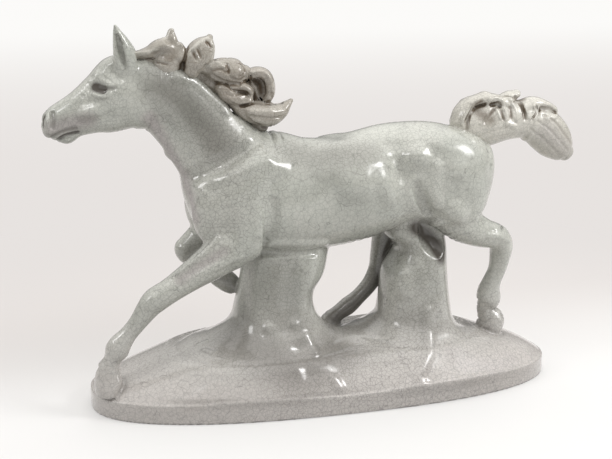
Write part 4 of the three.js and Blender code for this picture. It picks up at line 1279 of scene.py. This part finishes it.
def tail():
    hair = Sculpture()

    def lock(name, stations, blend=2.0, **caps):
        hair.add(name, Limb([(x, 0, z, deep, wide) for x, z, deep, wide in stations], **caps), blend)

    lock("tail_stem", [(106.5, 193, 11, 10.5), (116, 198, 15.5, 13), (130, 201, 17.5, 13.5),
                       (146, 203, 15.5, 13), (158, 203.5, 15, 12), (166, 202, 14.5, 11.5)], start=4, end=3)
    lock("tail_end", [(168, 200, 14.5, 11.5), (178, 195, 16.5, 12), (188.3, 185.3, 15.4, 11.5),
                      (195.8, 178, 11, 9), (199.5, 174.8, 6.8, 6)], blend=6.0, start=4, end=5)
    lock("tail_lock_1", [(105, 203, 5.2, 9), (108.6, 210.5, 5.8, 10), (114, 217, 4.8, 10),
                         (120, 219.5, 4, 9), (128, 221.5, 4.5, 9)], start=4)
    lock("tail_lock_1", [(128, 221, 4.5, 9), (138, 219, 4.5, 9.5), (146, 215, 5, 9)], blend=3.0)
    lock("tail_lock_2", [(140, 217, 5, 8), (148, 221, 5, 8), (154, 223.5, 3.2, 5)])
    lock("tail_lock_3", [(158, 212, 6, 10), (168, 215.5, 5.5, 9), (178, 213.5, 4.5, 7.5),
                         (185.5, 210, 3.6, 5.5)])
    hair.brush_all([
        # Rim and hollows at the root
        ([(105.5, 203), (107.5, 211), (112, 219)], 2.4, 1.0, -0.5),
        ([(109, 199), (111, 209), (116, 218)], 2.6, -2.0, 0.9),
        ([(117, 215), (121, 210), (127, 206)], 9.0, -0.8, 0.7),
        ([(117, 217), (121, 219.5)], 3.4, -0.8, 1.2),
        ([(119, 203), (125, 211)], 2.0, 1.0, 0.2),
        ([(123.4, 204.5), (131.3, 213.2)], 2.6, -1.5, 1.3),
        # Curls in the middle
        ([(127, 216), (129, 221), (134, 222), (138.7, 219.3), (139.6, 214.8)], 2.3, 1.9, 0.0),
        ([(131, 216.5), (135, 218), (136.5, 215)], 2.4, -2.0, 1.6),
        ([(133.4, 213.1), (135.8, 206.6)], 2.1, 1.6, 0.0),
        ([(138.7, 214.4), (141.2, 210.5), (140.7, 205.1)], 2.1, 1.4, 0.0),
        ([(137, 212), (138.2, 206)], 2.0, -1.5, 1.5),
        ([(144.8, 214), (145, 207)], 2.4, -1.5, 1.3),
        ([(141.5, 202.5), (148.6, 199.6)], 3.6, 1.8, 0.0),
        ([(146, 219), (149.5, 213), (149, 205)], 2.6, 1.1, 0.1),
        ([(150.3, 221.5), (154.7, 217), (157, 206)], 3.2, -2.2, 1.3),
        ([(130, 222), (140, 222.5), (149, 221)], 1.8, -0.8, 0.6),
        ([(160.9, 205.7), (165.6, 210.6), (165.4, 214.5)], 1.7, 1.5, 0.0),
        ([(164.8, 204.8), (169.2, 209.8), (169, 214)], 1.6, 1.3, 0.0),
        ([(162.8, 205), (167.4, 210), (167.2, 214.3)], 1.4, -1.0, 0.6),
        # End and underside
        ([(172, 213), (180, 212), (186, 208)], 2.6, -1.0, 0.7),
        ([(176, 205), (184, 205), (188, 208)], 3.4, 1.0, 0.0),
        ([(174, 207), (183, 202), (190, 194), (199, 184)], 2.4, -0.7, 0.3),
        ([(168, 203), (178, 196), (187, 187), (196, 178)], 2.2, -0.5, 0.05),
        ([(162, 197), (172, 190), (182, 181), (191, 174)], 2.4, -0.5, 0.05),
        ([(126, 190), (140, 193), (155, 194)], 2.2, -0.5, 0.1),
        ([(112, 190), (126, 196), (140, 199)], 2.2, -0.5, 0.1),
    ])
    hair.brush(0, [(176, 196), (188, 186), (198, 179)], 18, 0.0, tint=0.5)
    axes = [spaced(low, high, [(high, 1.0)]) for low, high in ((88, 214), (-20, 20), (160, 232))]
    make_pieces(hair, axes, lock_glaze)


mane()
tail()


# Camera, lights and floor


camera_azimuth = math.radians(-15.0)
camera_elevation = math.radians(14.0)
camera_distance = 0.8738
camera_view = math.radians(30.0)
# The camera looks at a point so high on the Z axis, moved aside by so much
camera_aim_height = 0.1245
camera_aside = -0.0147


def make_camera():
    azimuth, elevation = camera_azimuth, camera_elevation
    back = Vector((
        math.sin(azimuth) * math.cos(elevation),
        -math.cos(azimuth) * math.cos(elevation),
        math.sin(elevation),
    ))
    right = Vector((math.cos(azimuth), math.sin(azimuth), 0))
    data = bpy.data.cameras.new("camera")
    data.sensor_width = 36.0
    data.lens = data.sensor_width / 2 / math.tan(camera_view / 2)
    camera = placed("camera", data)
    camera.location = right * camera_aside + Vector((0, 0, camera_aim_height)) + back * camera_distance
    camera.rotation_euler = back.to_track_quat("Z", "Y").to_euler()
    bpy.context.scene.camera = camera


def area_light(name, place, aim, size, power, glossy=True, diffuse=True, spread=180.0):
    """A rectangular lamp in metres and watts. spread is the angle that it shines into, in degrees."""
    data = bpy.data.lights.new(name, "AREA")
    data.shape = "RECTANGLE"
    data.size, data.size_y = size
    data.energy = power
    data.spread = math.radians(spread)
    lamp = placed(name, data)
    lamp.location = place
    lamp.rotation_euler = (Vector(place) - Vector(aim)).to_track_quat("Z", "Y").to_euler()
    lamp.visible_glossy = glossy
    lamp.visible_diffuse = diffuse


def make_floor():
    mesh = bpy.data.meshes.new("floor")
    half = 8.0
    corners = [(-half, -half, 0), (half, -half, 0), (half, half, 0), (-half, half, 0)]
    mesh.from_pydata(corners, [], [(0, 1, 2, 3)])
    material = bpy.data.materials.new("white_board")
    graph = Graph(material)
    place, split = graph.place()
    # White in front, greyer behind the figure as painted shade, and white again far away
    behind = graph.ranged(split["Y"], -0.05, 0.22)
    tone = graph.mixed(behind, (0.97, 0.962, 0.95), (0.80, 0.765, 0.745))
    tone = graph.mixed(graph.ranged(split["Y"], 0.7, 4.0), tone, (0.97, 0.962, 0.945))
    path = graph.node("LightPath", {})
    seen = graph.calculated("MAXIMUM", path["Is Camera Ray"], path["Is Glossy Ray"])
    board = graph.fill(graph.nodes["Principled BSDF"], {
        "Roughness": 0.8,
        "Specular IOR Level": 0.2,
        "Base Color": graph.mixed(1.0, tone, (0.48, 0.48, 0.48), "MULTIPLY"),
        "Emission Color": tone,
        "Emission Strength": graph.ranged(seen, 0.0, 1.0, 0.0, 0.35, "LINEAR"),
    })
    backdrop = graph.node("Emission", {"Color": tone})[0]
    away = graph.node("VectorMath", {0: place}, operation="LENGTH")["Value"]
    part = graph.calculated("MULTIPLY", seen, graph.ranged(away, 0.24, 0.6))
    mix = graph.node("MixShader", {0: part, 1: board.outputs[0], 2: backdrop})[0]
    graph.fill(graph.nodes["Material Output"], {"Surface": mix})
    mesh.materials.append(material)
    placed("floor", mesh)


def make_world():
    world = bpy.data.worlds.new("studio")
    bpy.context.scene.world = world
    graph = Graph(world)
    overhead = graph.ranged(graph.place("Generated")[1]["Z"], 0.0, 1.0, 0.16, 1.3)
    values = {"Color": (1.0, 0.985, 0.965), "Strength": overhead}
    background = graph.fill(graph.nodes["Background"], values)
    seen = graph.node("Background", {"Color": (0.965, 0.955, 0.94)})[0]
    camera_ray = graph.node("LightPath", {})["Is Camera Ray"]
    mix = graph.node("MixShader", {0: camera_ray, 1: background.outputs[0], 2: seen})[0]
    graph.fill(graph.nodes["World Output"], {"Surface": mix})


def make_lights():
    """Plain soft light from the right, the left and above, and the windows that the glaze mirrors."""
    body = (0, 0, 0.15)
    head = (-0.185, -0.01, 0.235)
    area_light("right_side", (1.16, -0.685, 1.05), body, (0.6, 0.5), 13.0, glossy=False)
    area_light("right_window", (1.1, -0.65, 1.0), body, (0.7, 0.55), 5.0, diffuse=False)
    area_light("right_glint", (1.04, -0.615, 0.95), body, (0.36, 0.28), 3.2, diffuse=False)
    area_light("left_side", (-1.3, -0.25, 0.9), body, (0.5, 0.5), 4.6)
    area_light("left_window", (-0.745, -0.906, 1.152), head, (0.26, 0.22), 0.011, diffuse=False, spread=12.0)
    area_light("skylight", (0.35, 0.3, 1.5), (0, 0, 0.1), (1.0, 0.8), 4.2, glossy=False)


make_camera()
make_lights()
make_floor()
make_world()
bpy.context.scene.view_settings.view_transform = "Standard"
